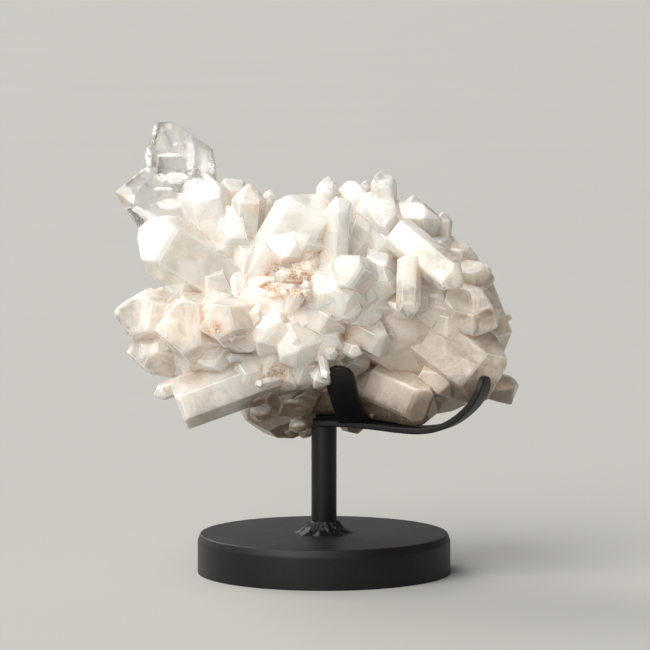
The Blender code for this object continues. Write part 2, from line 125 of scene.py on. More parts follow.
# name, end, root, width, depth, roll, blunt, offset, tone
CRYSTALS: tuple[Crystal, ...] = (
    CLEAR_UPPER,
    CLEAR_LOWER,
    Crystal("left_shoulder", (-91, -24, 174.5), (-28, -4, 134), 32.5, 29, 8, 3, -1.5, Tone(0.85, 0.1, 0.9)),
    Crystal("left_long", (-104, -12, 132.5), (-48, -2, 120), 28, 27, 5, 1, 1, Tone(0.45, 0.0, 0.2)),
    Crystal("left_under", (-95, -10, 114.5), (-48, 4, 106), 24, 22, 30, 6, 0, Tone(0.5, 0.0, 0.2)),
    Crystal("left_front", (-80, -40, 126.5), (-38, -6, 124), 34, 30, 12, 4, 0, Tone(0.8, 0.1, 0.5)),
    Crystal("iron_stained", (-58, -46, 128), (-14, -12, 131), 22, 21, 15, 4, 0, Tone(0.8, 0.75, 0.6)),
    Crystal("slab", (-71.5, -30, 87), (-12, -14, 107), 26, 24, 0, 15, 0, Tone(0.75, 0.0, 0.1)),
    Crystal("slab_splinter", (-84.5, -26, 92), (-62, -20, 101), 9, 8, 0, 0, 0, Tone(0.5, 0.3, 0.2)),
    Crystal("top_left_wide", (-61, -6, 197), (-50, -6, 152), 26, 24, 0, 5, 0, Tone(0.9, 0.1, 0.3)),
    Crystal("top_left_back", (-46, 3, 197), (-44, 3, 165), 15, 15, 20, 5, 0, Tone(0.9, 0.1, 0.3)),
    Crystal("top_left_ribbed", (-37, -12, 196), (-41, -6, 148), 17, 16, 10, 1, 0, Tone(0.8, 0.5, 0.4)),
    Crystal("top_left_small", (-27, -8, 193), (-29, -4, 170), 7, 7, 0, 0, 0, Tone(0.5, 0.2, 0.2)),
    Crystal("top_slanted", (-4, -20, 187), (-29, -10, 144), 33, 24, 0, 10, 0, Tone(1.0, 0.05, 0.1)),
    Crystal("top_lens", (8, -28, 190), (6, -16, 150), 14, 14, 20, 3, 0, Tone(0.9, 0.0, 0.3)),
    Crystal("top_spike", (2.5, -10, 200), (-1, -8, 165), 11, 11, 0, 0, 0, Tone(0.8, 0.1, 0.3)),
    Crystal("top_roof", (12, -3, 196), (19, -2, 155), 20, 18, 0, 3, 4, Tone(0.75, 0.1, 0.4)),
    Crystal("top_tiny", (21, 2, 197), (19, 4, 178), 6, 6, 0, 0, 0, Tone(0.5, 0.1, 0.3)),
    Crystal("top_tall", (29.3, -13, 202.5), (31.3, -9, 155), 13, 13, 0, 1, 0, Tone(0.45, 0.1, 0.4)),
    Crystal("top_bump", (45, 0, 190), (40, 2, 168), 9, 9, 10, 0, 0, Tone(0.6, 0.2, 0.5)),
    Crystal("top_right", (58, -12, 177), (30, -6, 178), 18, 17, 25, 2, 0, Tone(0.7, 0.2, 0.5)),
    Crystal("right_spike", (59.5, -4, 182), (57.5, -2, 155), 9, 8, 0, 0, 0, Tone(0.6, 0.2, 0.5)),
    Crystal("right_clear", (67, -42, 148), (36, -20, 172), 18, 15, 0, 2, 0, Tone(0.30, 0.0, 0.1)),
    Crystal("hanging_clear", (41, -44, 131), (42, -32, 160), 12.5, 11, 0, 0, 0, Tone(0.22, 0.0, 0.1)),
    Crystal("right_wall", (85, 4, 103), (70, 8, 142), 28, 40, 12, 3, 0, Tone(0.6, 0.35, 0.6)),
    Crystal("right_rib_upper", (77, -4, 157.5), (48, 0, 162), 14, 16, 0, 1, 0, Tone(0.6, 0.2, 0.6)),
    Crystal("right_rib_lower", (85, -8, 148), (55, -4, 152), 15, 18, 10, 1, 0, Tone(0.6, 0.3, 0.6)),
    Crystal("right_pane", (86, -24, 131), (44, -10, 140), 24, 22, 30, 5, 0, Tone(0.4, 0.35, 0.7)),
    Crystal("right_great", (85, -14, 96), (31, -4, 138), 34, 36, 0, 8, 0, Tone(0.55, 0.1, 0.6)),
    Crystal("right_knob", (95.5, -4, 91), (68, 0, 99), 15, 18, 30, 5, 0, Tone(0.5, 0.3, 0.5)),
    Crystal("heart_facing", (10, -52, 157), (32, -6, 142), 19, 18, 0, 6, 0, Tone(0.8, 0.1, 0.6)),
    Crystal("heart_cross", (18, -42, 139), (-14, -22, 128), 17, 16, 0, 3, 0, Tone(0.75, 0.2, 0.7)),
    Crystal("heart_lower", (32, -31, 117), (-2, -24, 134), 18, 17, 20, 3, 0, Tone(0.7, 0.2, 0.7)),
    Crystal("heart_pale", (-24, -36, 116), (14, -16, 128), 26, 24, 20, 9, 0, Tone(0.85, 0.15, 0.5)),
    Crystal("heart_needle", (-24, -42, 153), (18, -30, 149), 8, 8, 0, 1, 0, Tone(0.6, 0.9, 0.6)),
    Crystal("heart_shard", (-12, -44, 148), (12, -34, 143), 6, 6, 20, 0, 0, Tone(0.6, 0.9, 0.6)),
    Crystal("front_chip", (18, -38, 114), (6, -26, 118), 8, 8, 0, 1, 0, Tone(0.8, 0.1, 0.4)),
    Crystal("front_chip_low", (-3, -37, 99), (4, -20, 112), 12, 12, 0, 3, 0, Tone(0.8, 0.2, 0.4)),
    Crystal("under_nodule", (54, -20, 83), (24, -8, 95), 25, 24, 0, 5, 0, Tone(0.9, 0.3, 0.2)),
    Crystal("back_left_long", (-74, 40, 156), (-30, 12, 140), 22, 22, 10, 2),
    Crystal("back_left_low", (-72, 44, 112), (-22, 14, 118), 24, 24, 0, 3),
    Crystal("back_left_high", (-56, 36, 184), (-24, 10, 146), 23, 20, 20, 1),
    Crystal("back_left_spike", (-84, 20, 172), (-44, 8, 148), 15, 14),
    Crystal("back_top", (-14, 34, 184), (-6, 10, 146), 20, 19, 0, 2),
    Crystal("back_top_right", (28, 34, 188), (12, 10, 146), 22, 20, 30, 1),
    Crystal("back_middle", (-22, 64, 148), (-12, 12, 134), 28, 26, 0, 3),
    Crystal("back_middle_right", (34, 62, 140), (14, 10, 130), 24, 26, 20, 2),
    Crystal("back_right", (74, 44, 158), (34, 10, 136), 24, 22, 0, 1),
    Crystal("back_right_spike", (56, 40, 178), (30, 12, 148), 15, 15, 10),
    Crystal("back_low_right", (66, 46, 108), (24, 12, 118), 26, 24, 30, 3),
    Crystal("back_low_left", (-40, 54, 100), (-14, 14, 116), 22, 20, 0, 1),
    Crystal("back_low_middle", (14, 58, 116), (8, 16, 116), 18, 17, 0, 2),
)
GLASSY = ("clear_upper", "clear_lower", "right_clear", "hanging_clear")
PLAIN = ("left_shoulder", "left_long", "left_under", "left_front", "slab", "top_slanted", "right_great",
         "right_pane", "heart_facing", "heart_lower", "heart_pale", "under_nodule", "top_tall")


@dataclass(frozen=True)
class Pane:
    """A clear broken crystal by its corners: an outline, and the edges of its front and back faces.

    Each ring is a list of x, z pairs at its own y.
    """

    crystal: Crystal
    outline: tuple[tuple[float, float], ...]
    front: tuple[tuple[float, float, float], ...]
    back: tuple[tuple[float, float, float], ...]
    rim: tuple[float, float]

    def corners(self) -> Array:
        """All corner points, one row each."""
        edge = np.array(self.outline, float)
        rings = [np.column_stack((edge[:, 0], np.full(len(edge), y), edge[:, 1])) for y in self.rim]
        return np.vstack((*rings, self.front, self.back))


PANES = {
    "clear_upper": Pane(
        CLEAR_UPPER,
        ((-84, 225.4), (-75.5, 226.0), (-55.5, 212.2), (-53.5, 197.2), (-59, 184), (-78, 178), (-86.5, 203.7),
         (-90, 207.7), (-87.5, 214.4)),
        ((-81.5, -0.5, 221.5), (-75.5, -0.8, 222.8), (-58, -0.5, 210.5), (-82.5, -2.2, 210.5),
         (-73, -2.6, 211.5), (-56.5, -2, 198.5), (-83, -1.5, 203.5), (-62, -1, 186), (-79, -1, 190)),
        ((-82, 12.2, 219), (-74, 12.6, 220.5), (-60, 12, 209.5), (-80, 13.2, 205), (-63, 12.6, 190)),
        (3.6, 7.4)),
    "clear_lower": Pane(
        CLEAR_LOWER,
        ((-89.5, 203.2), (-104.4, 190.8), (-101, 184.6), (-93, 173.4), (-87, 171.0), (-66, 172), (-60, 195),
         (-79, 205.0)),
        ((-84.5, -3.6, 201.5), (-92.5, -4.6, 191.8), (-95, -4.8, 184.2), (-84, -5.0, 177.4), (-66, -3.5, 178),
         (-66, -3, 198), (-97.8, -1.6, 190.4), (-98.5, -1.8, 184.6), (-87.5, -2.4, 173.4)),
        ((-86, 10.5, 199), (-95, 9.5, 189), (-92, 10, 179), (-76, 13, 175), (-66, 15, 192)),
        (1.2, 5.2)),
}

# Thin plates grown onto the clear crystals, which give them their steps: outline, front and back y
PLATES = (
    (((-82.5, 209.8), (-72.5, 211.2), (-56.0, 199.0), (-58, 190), (-78, 190), (-84, 200)), -3.4, 4),
    (((-84.5, 224.6), (-81.8, 224.9), (-84.8, 203.5), (-87.4, 203.2), (-89.2, 208), (-87.2, 215)), -1.6, 9),
    (((-60, 213.2), (-55.8, 211.8), (-54.2, 205.5), (-60, 206)), 1.0, 9.5),
    (((-58, 206.5), (-54.0, 205.0), (-53.6, 200.5), (-58, 199)), -1.0, 8),
    (((-80, 221), (-73, 222.5), (-64, 216.4), (-76, 213)), 6, 13.4),
    (((-92.0, 195.0), (-86.0, 201.0), (-74, 199), (-70, 191), (-80, 190)), 5, 12.5),
    (((-99.6, 183.5), (-96.5, 184.5), (-86, 175.0), (-88.0, 171.8), (-92.6, 174.2)), -3.0, 6),
)

# Iron stains: x, z, radius and strength as seen from the front, and x, z, radius and strength at the back
STAINS_FRONT = (
    (-18, 145, 8.5, 1.0), (-24, 152, 7, 0.6), (-7, 152, 8, 0.6), (-8, 145, 8, 0.6), (-28, 142, 6, 0.45),
    (-54, 121.5, 5, 0.8), (-22, 99.5, 6, 0.75), (-30, 102, 6, 0.5), (94.5, 116.5, 4, 0.9),
    (81, 136, 6, 0.45), (84, 130, 3, 0.7),
    (-35, 194, 4, 0.8), (-32.5, 182.5, 4.5, 0.75), (-99, 189.5, 3.2, 1.0), (-102.5, 187, 3, 1.0),
    (-88.5, 212, 2.5, 0.9), (11, 119, 5, 0.5), (35, 137, 5, 0.5), (-63, 98, 5, 0.5), (22, 104, 9, 0.35),
    (44, 150, 5, 0.4), (63, 143, 4, 0.3), (-78, 97, 3.5, 0.8), (10.5, 98, 6, 0.4), (55, 92, 7, 0.35),
    (-25, 126, 20, 0.3), (8, 122, 16, 0.27), (-52, 124, 16, 0.24), (-66, 166, 12, 0.14), (-12, 168, 12, 0.12),
)
STAINS_BACK = (
    (-40, 138, 9, 0.7), (4, 150, 8, 0.6), (38, 120, 9, 0.6), (-8, 108, 8, 0.5), (60, 148, 6, 0.5),
    (-62, 128, 6, 0.6), (20, 172, 5, 0.5), (-30, 168, 6, 0.5),
)

# Places that stay open, without crystals grown in: x, y, z, radius
OPEN_PLACES = (
    (-17.5, -40, 146, 7), (28, -28, 104, 14), (52, -24, 112, 18), (42, -24, 124, 12),
    (8, -34, 100, 13), (11, -22, 88, 14), (30, -14, 78, 15), (55, -26, 80, 15), (76, -32, 92, 14),
    (2, 32, 82, 14), (0, 50, 98, 12), (2, 10, 76, 16),
)

# Broken bits along the lowest edge: centre, half size
KEEL_BITS = (
    ((-25, 8, 74.5), (5.5, 5, 4.0)), ((-17, 10, 71.0), (5.0, 5, 3.4)), ((-9.5, 11, 69.2), (4.4, 5, 3.2)),
    ((-3, 13, 70.2), (4.6, 4, 3.4)), ((-32, 2, 80), (5.5, 6, 4.0)), ((-13, 2, 73.5), (5, 5, 3.2)),
)

# How far the cluster's skin and core stand off the bars and the post, in millimetres
SKIN_CLEARANCE = 0.35
CORE_CLEARANCE = 1.3

# The way the camera looks
VIEW = np.array((0.0, 0.9956, -0.094))

# Rounded masses between the crystals: centre, half size
MASSES: tuple[tuple[tuple[float, float, float], tuple[float, float, float]], ...] = (
    ((-8, 4, 132), (50, 27, 34)),
    ((-46, 0, 122), (32, 20, 22)),
    ((42, 0, 128), (38, 26, 32)),
    ((4, 14, 99), (40, 22, 20)),
    ((-21, 15, 86.5), (25, 14, 20)),
    ((14, 21, 83), (10, 10, 17)),
    ((31, 0, 89), (23, 16, 14)),
    ((52, 4, 98.5), (28, 18, 20)),
)

# Patches of small crystals in the CAD solid: centre, how far it spreads, how many
DRUSE_PATCHES = (
    ((-14, -36, 142), 8, 4), ((-2, -32, 112), 9, 4), ((28, -28, 128), 8, 3), ((-34, -24, 104), 8, 3),
    ((-10, 26, 158), 22, 6), ((40, 30, 150), 18, 5), ((-50, 28, 130), 18, 5), ((0, 36, 120), 20, 4),
)
DRUSE_LENGTH = (6, 12)
DRUSE_WIDTH = (3.5, 7)
HEART = np.array((-5.0, 6.0, 128.0))


def unit(vector: Array) -> Array:
    """The vector, or each row of vectors, brought to length 1."""
    return vector / np.linalg.norm(vector, axis=-1, keepdims=True)


def lattice_noise(points: Array, seed: int = 0) -> Array:
    """Smooth random heights: hashed values on a unit lattice, blended with the smoothstep weights.

    Args:
        points: places, one row each, already scaled so that one unit is one lump.
        seed: which of the random lattices is read.

    Returns:
        A height from -1 to 1 for each row.
    """
    cell = np.floor(points).astype(np.int64)
    part = points - cell
    part = part * part * (3 - 2 * part)
    total = np.zeros(len(points))
    for corner in product((0, 1), repeat=3):
        at = cell + np.array(corner)
        code = (at[:, 0] * 73856093) ^ (at[:, 1] * 19349663) ^ (at[:, 2] * 83492791) ^ (seed * 912931)
        code = ((code ^ (code >> 13)) * 1274126177) & 0x7FFFFFFF
        weight = np.prod(np.where(corner, part, 1 - part), axis=1)
        total += weight * (code / 0x3FFFFFFF - 1)
    return total


def layered_noise(points: Array, layers: int = 3, seed: int = 0) -> Array:
    """Sum of lattice noises, each of half the size and half the height of the one before."""
    return sum(lattice_noise(points * 2 ** k, seed + k) / 2 ** k for k in range(layers))


@dataclass
class HalfSpaces:
    """A convex body as the space behind a set of planes: normal · place <= reach for each of them."""

    normals: Array
    reaches: Array
    kinds: Array

    def corners(self) -> tuple[Array, Array]:
        """Cuts every three planes and keeps the crossings that lie behind all the others.

        Returns:
            The corner points, and for each corner and plane whether the corner lies on the plane.
        """
        triples = np.array(list(combinations(range(len(self.reaches)), 3)))
        sides = self.normals[triples]
        crossing = np.abs(np.linalg.det(sides)) > 1e-4
        offsets = self.reaches[triples[crossing]][..., None]
        points = np.linalg.solve(sides[crossing], offsets)[..., 0]
        points = points[(points @ self.normals.T <= self.reaches + 1e-6).all(axis=1)]
        near = np.linalg.norm(points[:, None] - points[None], axis=2) < 0.01
        points = points[np.unique(near.argmax(axis=1))]
        return points, np.abs(points @ self.normals.T - self.reaches) < 0.02

    def with_planes(self, normals: Array, reaches: Array, kind: FaceKind) -> HalfSpaces:
        """The same body with more planes of one kind."""
        kinds = np.full(len(reaches), kind.value)
        return HalfSpaces(np.vstack((self.normals, normals)), np.append(self.reaches, reaches),
                          np.append(self.kinds, kinds))

    def worn(self, depth: tuple[float, float], rng: np.random.Generator) -> HalfSpaces:
        """Planes off every edge by a plane that leans half way between its two faces.

        Args:
            depth: smallest and largest depth of the wear, below the sharp edge.
            rng: gives each edge its depth.

        Returns:
            The body with one narrow worn face per edge.
        """
        on = self.corners()[1].astype(int)
        first, second = np.nonzero(np.triu(on.T @ on >= 2, 1))
        bisector = self.normals[first] + self.normals[second]
        length = np.linalg.norm(bisector, axis=1)
        usable = length > 0.6
        first, second, bisector, length = first[usable], second[usable], bisector[usable], length[usable]
        edge = (self.reaches[first] + self.reaches[second]) / length
        return self.with_planes(bisector / length[:, None], edge - rng.uniform(*depth, len(edge)),
                                FaceKind.WORN_EDGE)

    def inset(self, sides: float, ends: float) -> HalfSpaces | None:
        """The body with its sides and its end faces moved inwards; None if nothing is left."""
        shift = np.choose(self.kinds, (sides, ends, sides, sides, sides))
        inner = HalfSpaces(self.normals, self.reaches - shift, self.kinds)
        return inner if len(inner.corners()[0]) > 7 else None

    def outside(self, points: Array) -> Array:
        """How far each point stands outside the body, negative inside it."""
        return (points @ self.normals.T - self.reaches).max(axis=1)

    def crossed(self, starts: Array, ways: Array) -> Array:
        """How far along each ray it leaves the body; minus infinity where the ray misses it.

        A plane that the ray climbs bounds the way out and one that it sinks towards bounds the way in, both
        at (reach - normal · start) / (normal · way).
        """
        slope = ways @ self.normals.T
        at = (self.reaches - starts @ self.normals.T) / np.where(np.abs(slope) < 1e-9, 1e-9, slope)
        leave = np.where(slope > 0, at, np.inf).min(axis=1)
        enter = np.where(slope <= 0, at, -np.inf).max(axis=1)
        return np.where(leave > enter, leave, -np.inf)

    def held(self, centre: Array, points: Array, margin: float) -> Array:
        """The points, drawn towards the centre until they are inside by the margin."""
        step = points - centre
        slope = step @ self.normals.T
        room = self.reaches - margin - centre @ self.normals.T
        share = np.where(slope > 1e-9, room / np.maximum(slope, 1e-9), np.inf).min(axis=1)
        return centre + step * np.clip(share, 0, 1)[:, None]


def crystal_body(crystal: Crystal, dice: random.Random) -> HalfSpaces:
    """Six prism faces, six end faces leaning at the rhombohedral angle, a root and a broken point.

    Args:
        crystal: the crystal's sizes.
        dice: draws the uneven distances, in the same order as the CAD solids do.

    Returns:
        The crystal as half-spaces, in millimetres.
    """
    side, back, along = crystal.axes()
    tip, root = np.array(crystal.tip, float), np.array(crystal.root, float)
    apex = tip + along * crystal.blunt
    normals, reaches, kinds = [], [], []
    for k in range(6):
        angle = math.radians(30 + 60 * k + crystal.roll)
        outward = side * math.cos(angle) + back * math.sin(angle)
        reach = math.hypot(outward @ side * crystal.width / 2, outward @ back * crystal.depth / 2)
        reach *= FACE_FIT * (1 + FACE_SPREAD * dice.uniform(-1, 1))
        step_back = dice.uniform(*MINOR_FACE_BACK) * crystal.width if k % 2 else 0.0
        slope = outward * math.cos(RHOMB_ANGLE) + along * math.sin(RHOMB_ANGLE)
        normals += [outward, slope]
        reaches += [outward @ (root + side * crystal.offset) + reach, slope @ apex + step_back]
        kinds += [FaceKind.PRISM.value, FaceKind.RHOMB.value]
    normals.append(-along)
    reaches.append(-along @ root)
    kinds.append(FaceKind.BROKEN.value)
    if crystal.blunt:
        lean = unit(along + side * dice.uniform(-0.25, 0.25) + back * dice.uniform(-0.3, 0.3))
        normals.append(lean)
        reaches.append(lean @ tip)
        kinds.append(FaceKind.BROKEN.value)
    return HalfSpaces(np.array(normals), np.array(reaches), np.array(kinds))


def pane_body(pane: Pane) -> HalfSpaces:
    """The planes of the smallest convex body around a pane's corners; its left front faces carry a film.

    Args:
        pane: the pane's corners.

    Returns:
        The pane as half-spaces, in millimetres.
    """
    body = hull_planes(pane.corners())
    film = (body.normals @ unit(np.array((-0.62, -0.72, 0.3))) > 0.86) & (pane.crystal.name == "clear_lower")
    body.kinds = np.where(film, FaceKind.FILM.value, FaceKind.RHOMB.value)
    return body


def plate_body(outline: Sequence[tuple[float, float]], front: float, back: float) -> HalfSpaces:
    """A flat convex plate whose edge slopes back from the front face by 0.7 mm on 0.9 mm.

    Args:
        outline: x, z corners of the plate.
        front: y of the front face.
        back: y of the back face.

    Returns:
        The plate as half-spaces, in millimetres.
    """
    edge = np.array(outline, float)
    centre = edge.mean(axis=0)
    inner = edge + unit(centre - edge) * 0.7
    rows = [np.column_stack((ring[:, 0], np.full(len(ring), y), ring[:, 1]))
            for ring, y in ((inner, front), (edge, front + 0.9), (edge, back - 0.9), (inner, back))]
    return hull_planes(np.vstack(rows))


def hull_planes(corners: Array) -> HalfSpaces:
    """The planes of the smallest convex body around these points."""
    bm = bmesh.new()
    for corner in corners:
        bm.verts.new(corner)
    bmesh.ops.convex_hull(bm, input=bm.verts)
    bmesh.ops.recalc_face_normals(bm, faces=bm.faces)
    planes = np.array([(*face.normal, face.normal @ face.verts[0].co) for face in bm.faces])
    bm.free()
    planes = planes[np.unique(np.round(planes, 3), axis=0, return_index=True)[1]]
    return HalfSpaces(planes[:, :3], planes[:, 3], np.full(len(planes), FaceKind.RHOMB.value))


def mass_body(centre: Sequence[float], half_size: Sequence[float], rng: np.random.Generator,
              count: int = 44) -> HalfSpaces:
    """Planes that touch an ellipsoid, each pushed in or out: a broken lump.

    Args:
        centre: middle of the lump.
        half_size: the ellipsoid's three radii.
        rng: gives the directions and the pushes.
        count: how many planes.

    Returns:
        The lump as half-spaces, in millimetres.
    """
    level = 1 - (np.arange(count) + 0.5) * 2 / count
    turn = np.arange(count) * 2.39996 + rng.uniform(-0.3, 0.3, count)
    flat = np.sqrt(1 - level ** 2)
    normals = unit(np.stack((flat * np.cos(turn), flat * np.sin(turn), level), axis=1)
                   + rng.normal(0, 0.1, (count, 3)))
    touch = np.linalg.norm(normals * np.array(half_size), axis=1) * rng.uniform(0.86, 1.02, count)
    return HalfSpaces(normals, normals @ np.array(centre, float) + touch,
                      np.full(count, FaceKind.BROKEN.value))


@dataclass
class Skin:
    """A triangle mesh as arrays, with values at every corner of every triangle.

    nature holds milkiness, stain, line strength and rosiness. form holds roughness of the break, edge wear,
    distance along the crystal from root (0) to end (1), and a shade of its own. grain holds millimetres
    across and along the crystal.
    """

    points: Array
    triangles: Array
    nature: Array
    form: Array
    grain: Array

    LAYERS = (("nature", 4), ("form", 4), ("grain", 2))

    @classmethod
    def read(cls, mesh: bpy.types.Mesh) -> Skin:
        """Takes the arrays out of a mesh of triangles.

        Args:
            mesh: a mesh in metres that has the layers.

        Returns:
            The skin, in millimetres.
        """
        points = np.empty(len(mesh.vertices) * 3, np.float32)
        mesh.vertices.foreach_get("co", points)
        corners = np.empty(len(mesh.loops), np.int32)
        mesh.loops.foreach_get("vertex_index", corners)
        layers = []
        for name, width in cls.LAYERS:
            values = np.empty(len(mesh.loops) * width, np.float32)
            kind = "uv" if width == 2 else "color"
            source = mesh.uv_layers[name] if width == 2 else mesh.attributes[name]
            source.data.foreach_get(kind, values)
            layers.append(values.reshape(-1, 3, width).astype(float))
        return cls(points.reshape(-1, 3).astype(float) / MM, corners.reshape(-1, 3), *layers)

    def mesh(self, name: str) -> bpy.types.Mesh:
        """Puts the arrays into a new mesh, in metres."""
        mesh = bpy.data.meshes.new(name)
        mesh.from_pydata(self.points * MM, [], self.triangles)
        for layer, width in self.LAYERS:
            values = getattr(self, layer).astype(np.float32).ravel()
            if width == 2:
                mesh.uv_layers.new(name=layer).data.foreach_set("uv", values)
            else:
                mesh.attributes.new(layer, "FLOAT_COLOR", "CORNER").data.foreach_set("color", values)
        return mesh

    def main_body(self) -> Skin:
        """Keeps the largest connected shell: labels spread along the triangles until they settle."""
        label = np.arange(len(self.points))
        while True:
            lowest = label[self.triangles].min(axis=1)
            spread = label.copy()
            np.minimum.at(spread, self.triangles.ravel(), np.repeat(lowest, 3))
            spread = spread[spread]
            if (spread == label).all():
                break
            label = spread
        of_face = label[self.triangles[:, 0]]
        keep = of_face == np.bincount(of_face).argmax()
        used, renumbered = np.unique(self.triangles[keep], return_inverse=True)
        return Skin(self.points[used], renumbered.reshape(-1, 3), self.nature[keep], self.form[keep],
                    self.grain[keep])

    def split_long_edges(self, limit: Array) -> Skin:
        """Halves each edge that is longer than the limit of a face beside it, and refills the faces.

        Args:
            limit: longest edge allowed, one value for each triangle.

        Returns:
            The finer skin, with the corner values halved along with the edges.
        """
        tri = self.triangles
        pairs = np.sort(tri[:, [[0, 1], [1, 2], [2, 0]]], axis=2)
        edges, which = np.unique(pairs.reshape(-1, 2), axis=0, return_inverse=True)
        which = which.reshape(-1, 3)
        allowed = np.full(len(edges), np.inf)
        np.minimum.at(allowed, which.ravel(), np.repeat(limit, 3))
        ends = self.points[edges]
        long = np.linalg.norm(ends[:, 0] - ends[:, 1], axis=1) > allowed
        number = np.where(long, np.cumsum(long) - 1 + len(self.points), -1)
        points = np.vstack((self.points, ends[long].mean(axis=1)))
        middle = number[which]
        cut = middle >= 0
        turn = np.select([cut.sum(1) == 1, cut.sum(1) == 2], [cut.argmax(1), (~cut).argmax(1) + 1], 0) % 3
        order = (turn[:, None] + np.arange(3)) % 3
        rows = np.arange(len(tri))[:, None]
        tri, middle, cut = tri[rows, order], middle[rows, order], cut[rows, order]
        values = np.concatenate((self.nature, self.form, self.grain), axis=2)[rows, order]
        halves = (values + values[:, [1, 2, 0]]) / 2
        six = np.concatenate((tri, middle), axis=1)
        six_values = np.concatenate((values, halves), axis=1)
        patterns = {0: ((0, 1, 2),), 1: ((0, 3, 2), (3, 1, 2)), 2: ((1, 4, 3), (0, 3, 4), (0, 4, 2)),
                    3: ((0, 3, 5), (3, 1, 4), (5, 4, 2), (3, 4, 5))}
        new_tri, new_values = [], []
        for amount, fills in patterns.items():
            chosen = np.flatnonzero(cut.sum(1) == amount)
            for fill in fills:
                new_tri.append(six[chosen][:, fill])
                new_values.append(six_values[chosen][:, fill])
        values = np.vstack(new_values)
        return Skin(points, np.vstack(new_tri), values[..., :4], values[..., 4:8], values[..., 8:])


def skin_of(body: HalfSpaces, crystal: Crystal | None, tone: Tone, habit: Habit, shade: float) -> Skin:
    """Wraps the body's corners and writes what each face is into the corner values.

    Args:
        body: the convex body.
        crystal: its axes give the grain and the distance along; None on a broken mass.
        tone: what it is like inside.
        habit: grown crystal or broken mass.
        shade: a value from 0 to 1 of its own.

    Returns:
        The closed skin of the body.
    """
    shell = bpy.data.meshes.new("shell")
    shell.from_pydata(body.corners()[0], [], [])
    bm = bmesh.new()
    bm.from_mesh(shell)
    bmesh.ops.convex_hull(bm, input=bm.verts)
    bmesh.ops.delete(bm, geom=[v for v in bm.verts if not v.link_faces], context="VERTS")
    bmesh.ops.recalc_face_normals(bm, faces=bm.faces)
    bm.to_mesh(shell)
    bm.free()
    points = np.empty(len(shell.vertices) * 3)
    shell.vertices.foreach_get("co", points)
    points = points.reshape(-1, 3)
    corners = np.empty(len(shell.loops), np.int32)
    shell.loops.foreach_get("vertex_index", corners)
    triangles = corners.reshape(-1, 3)
    facing = np.empty(len(shell.polygons) * 3)
    shell.polygons.foreach_get("normal", facing)
    bpy.data.meshes.remove(shell)
    kind = body.kinds[(facing.reshape(-1, 3) @ body.normals.T).argmax(axis=1)]
    places = points[triangles]
    one = np.ones(triangles.shape)
    per_face = np.broadcast_to(kind[:, None], triangles.shape)
    lines = np.choose(per_face, (1.0, 0.12, 0.0, 0.0, 0.1))
    rough = one * (1.0 if habit is Habit.MASS else 0.0)
    if crystal is None:
        grain, reach = places[..., :2], one * 0.0
    else:
        side, back, along = crystal.axes()
        height = (places - np.array(crystal.root)) @ along
        reach = height / np.linalg.norm(np.subtract(crystal.tip, crystal.root))
        grain = np.stack((places @ side + places @ back, height), axis=-1)
    milk = np.where(per_face == FaceKind.FILM.value, 0.86, tone.milk)
    nature = np.stack((milk, one * tone.stain, lines, one * tone.rosy), axis=-1)
    worn = (per_face == FaceKind.WORN_EDGE.value) * 1.0
    form = np.stack((rough, worn, np.clip(reach, 0, 1), one * shade), axis=-1)
    return Skin(points, triangles, nature, form, grain)


def put(name: str, mesh: bpy.types.Mesh, material: bpy.types.Material | None = None) -> bpy.types.Object:
    """Adds an object with this mesh and material to the scene."""
    piece = bpy.data.objects.new(name, mesh)
    bpy.context.scene.collection.objects.link(piece)
    if material:
        mesh.materials.append(material)
    return piece


def combined(first: bpy.types.Object, others: list[bpy.types.Object], operation: str) -> bpy.types.Mesh:
    """Unites the first object with the others, or cuts them out of it, and removes them all.

    Args:
        first: the object that is changed.
        others: closed meshes.
        operation: UNION or DIFFERENCE.

    Returns:
        The resulting mesh, in triangles.
    """
    group = bpy.data.collections.new("operands")
    bpy.context.scene.collection.children.link(group)
    for other in others:
        bpy.context.scene.collection.objects.unlink(other)
        group.objects.link(other)
    step = first.modifiers.new("join", "BOOLEAN")
    step.operation = operation
    step.operand_type = "COLLECTION"
    step.collection = group
    step.solver = "MANIFOLD"
    first.modifiers.new("triangles", "TRIANGULATE")
    graph = bpy.context.evaluated_depsgraph_get()
    result = bpy.data.meshes.new_from_object(first.evaluated_get(graph))
    for piece in [first, *others]:
        bpy.data.objects.remove(piece)
    bpy.data.collections.remove(group)
    return result


class Wire:
    """A socket of a shader graph that takes part in Python sums; each sum adds its Math node."""

    def __init__(self, graph: Graph, socket: bpy.types.NodeSocket) -> None:
        """Keeps the socket and the graph it belongs to."""
        self.graph = graph
        self.socket = socket

    def _math(self, operation: str, *values: Any, clamp: bool = False) -> Wire:
        """One Math node on these values."""
        return self.graph.node("ShaderNodeMath", {"operation": operation, "use_clamp": clamp},
                               dict(enumerate(values)))

    def __add__(self, other: Any) -> Wire:
        """Sum."""
        return self._math("ADD", self, other)

    __radd__ = __add__

    def __mul__(self, other: Any) -> Wire:
        """Product."""
        return self._math("MULTIPLY", self, other)

    __rmul__ = __mul__

    def __sub__(self, other: Any) -> Wire:
        """Difference."""
        return self._math("SUBTRACT", self, other)

    def __rsub__(self, other: Any) -> Wire:
        """Difference the other way round."""
        return self._math("SUBTRACT", other, self)

    def at_least(self, other: Any) -> Wire:
        """The larger of the two."""
        return self._math("MAXIMUM", self, other)

    def clamped(self) -> Wire:
        """The value held between 0 and 1."""
        return self._math("ADD", self, 0.0, clamp=True)

    def spread(self, low: float, high: float, to_low: float = 0.0, to_high: float = 1.0) -> Wire:
        """A smooth step: low and below give to_low, high and above give to_high."""
        return self.graph.node("ShaderNodeMapRange", {"interpolation_type": "SMOOTHSTEP"},
                               {0: self, 1: low, 2: high, 3: to_low, 4: to_high})


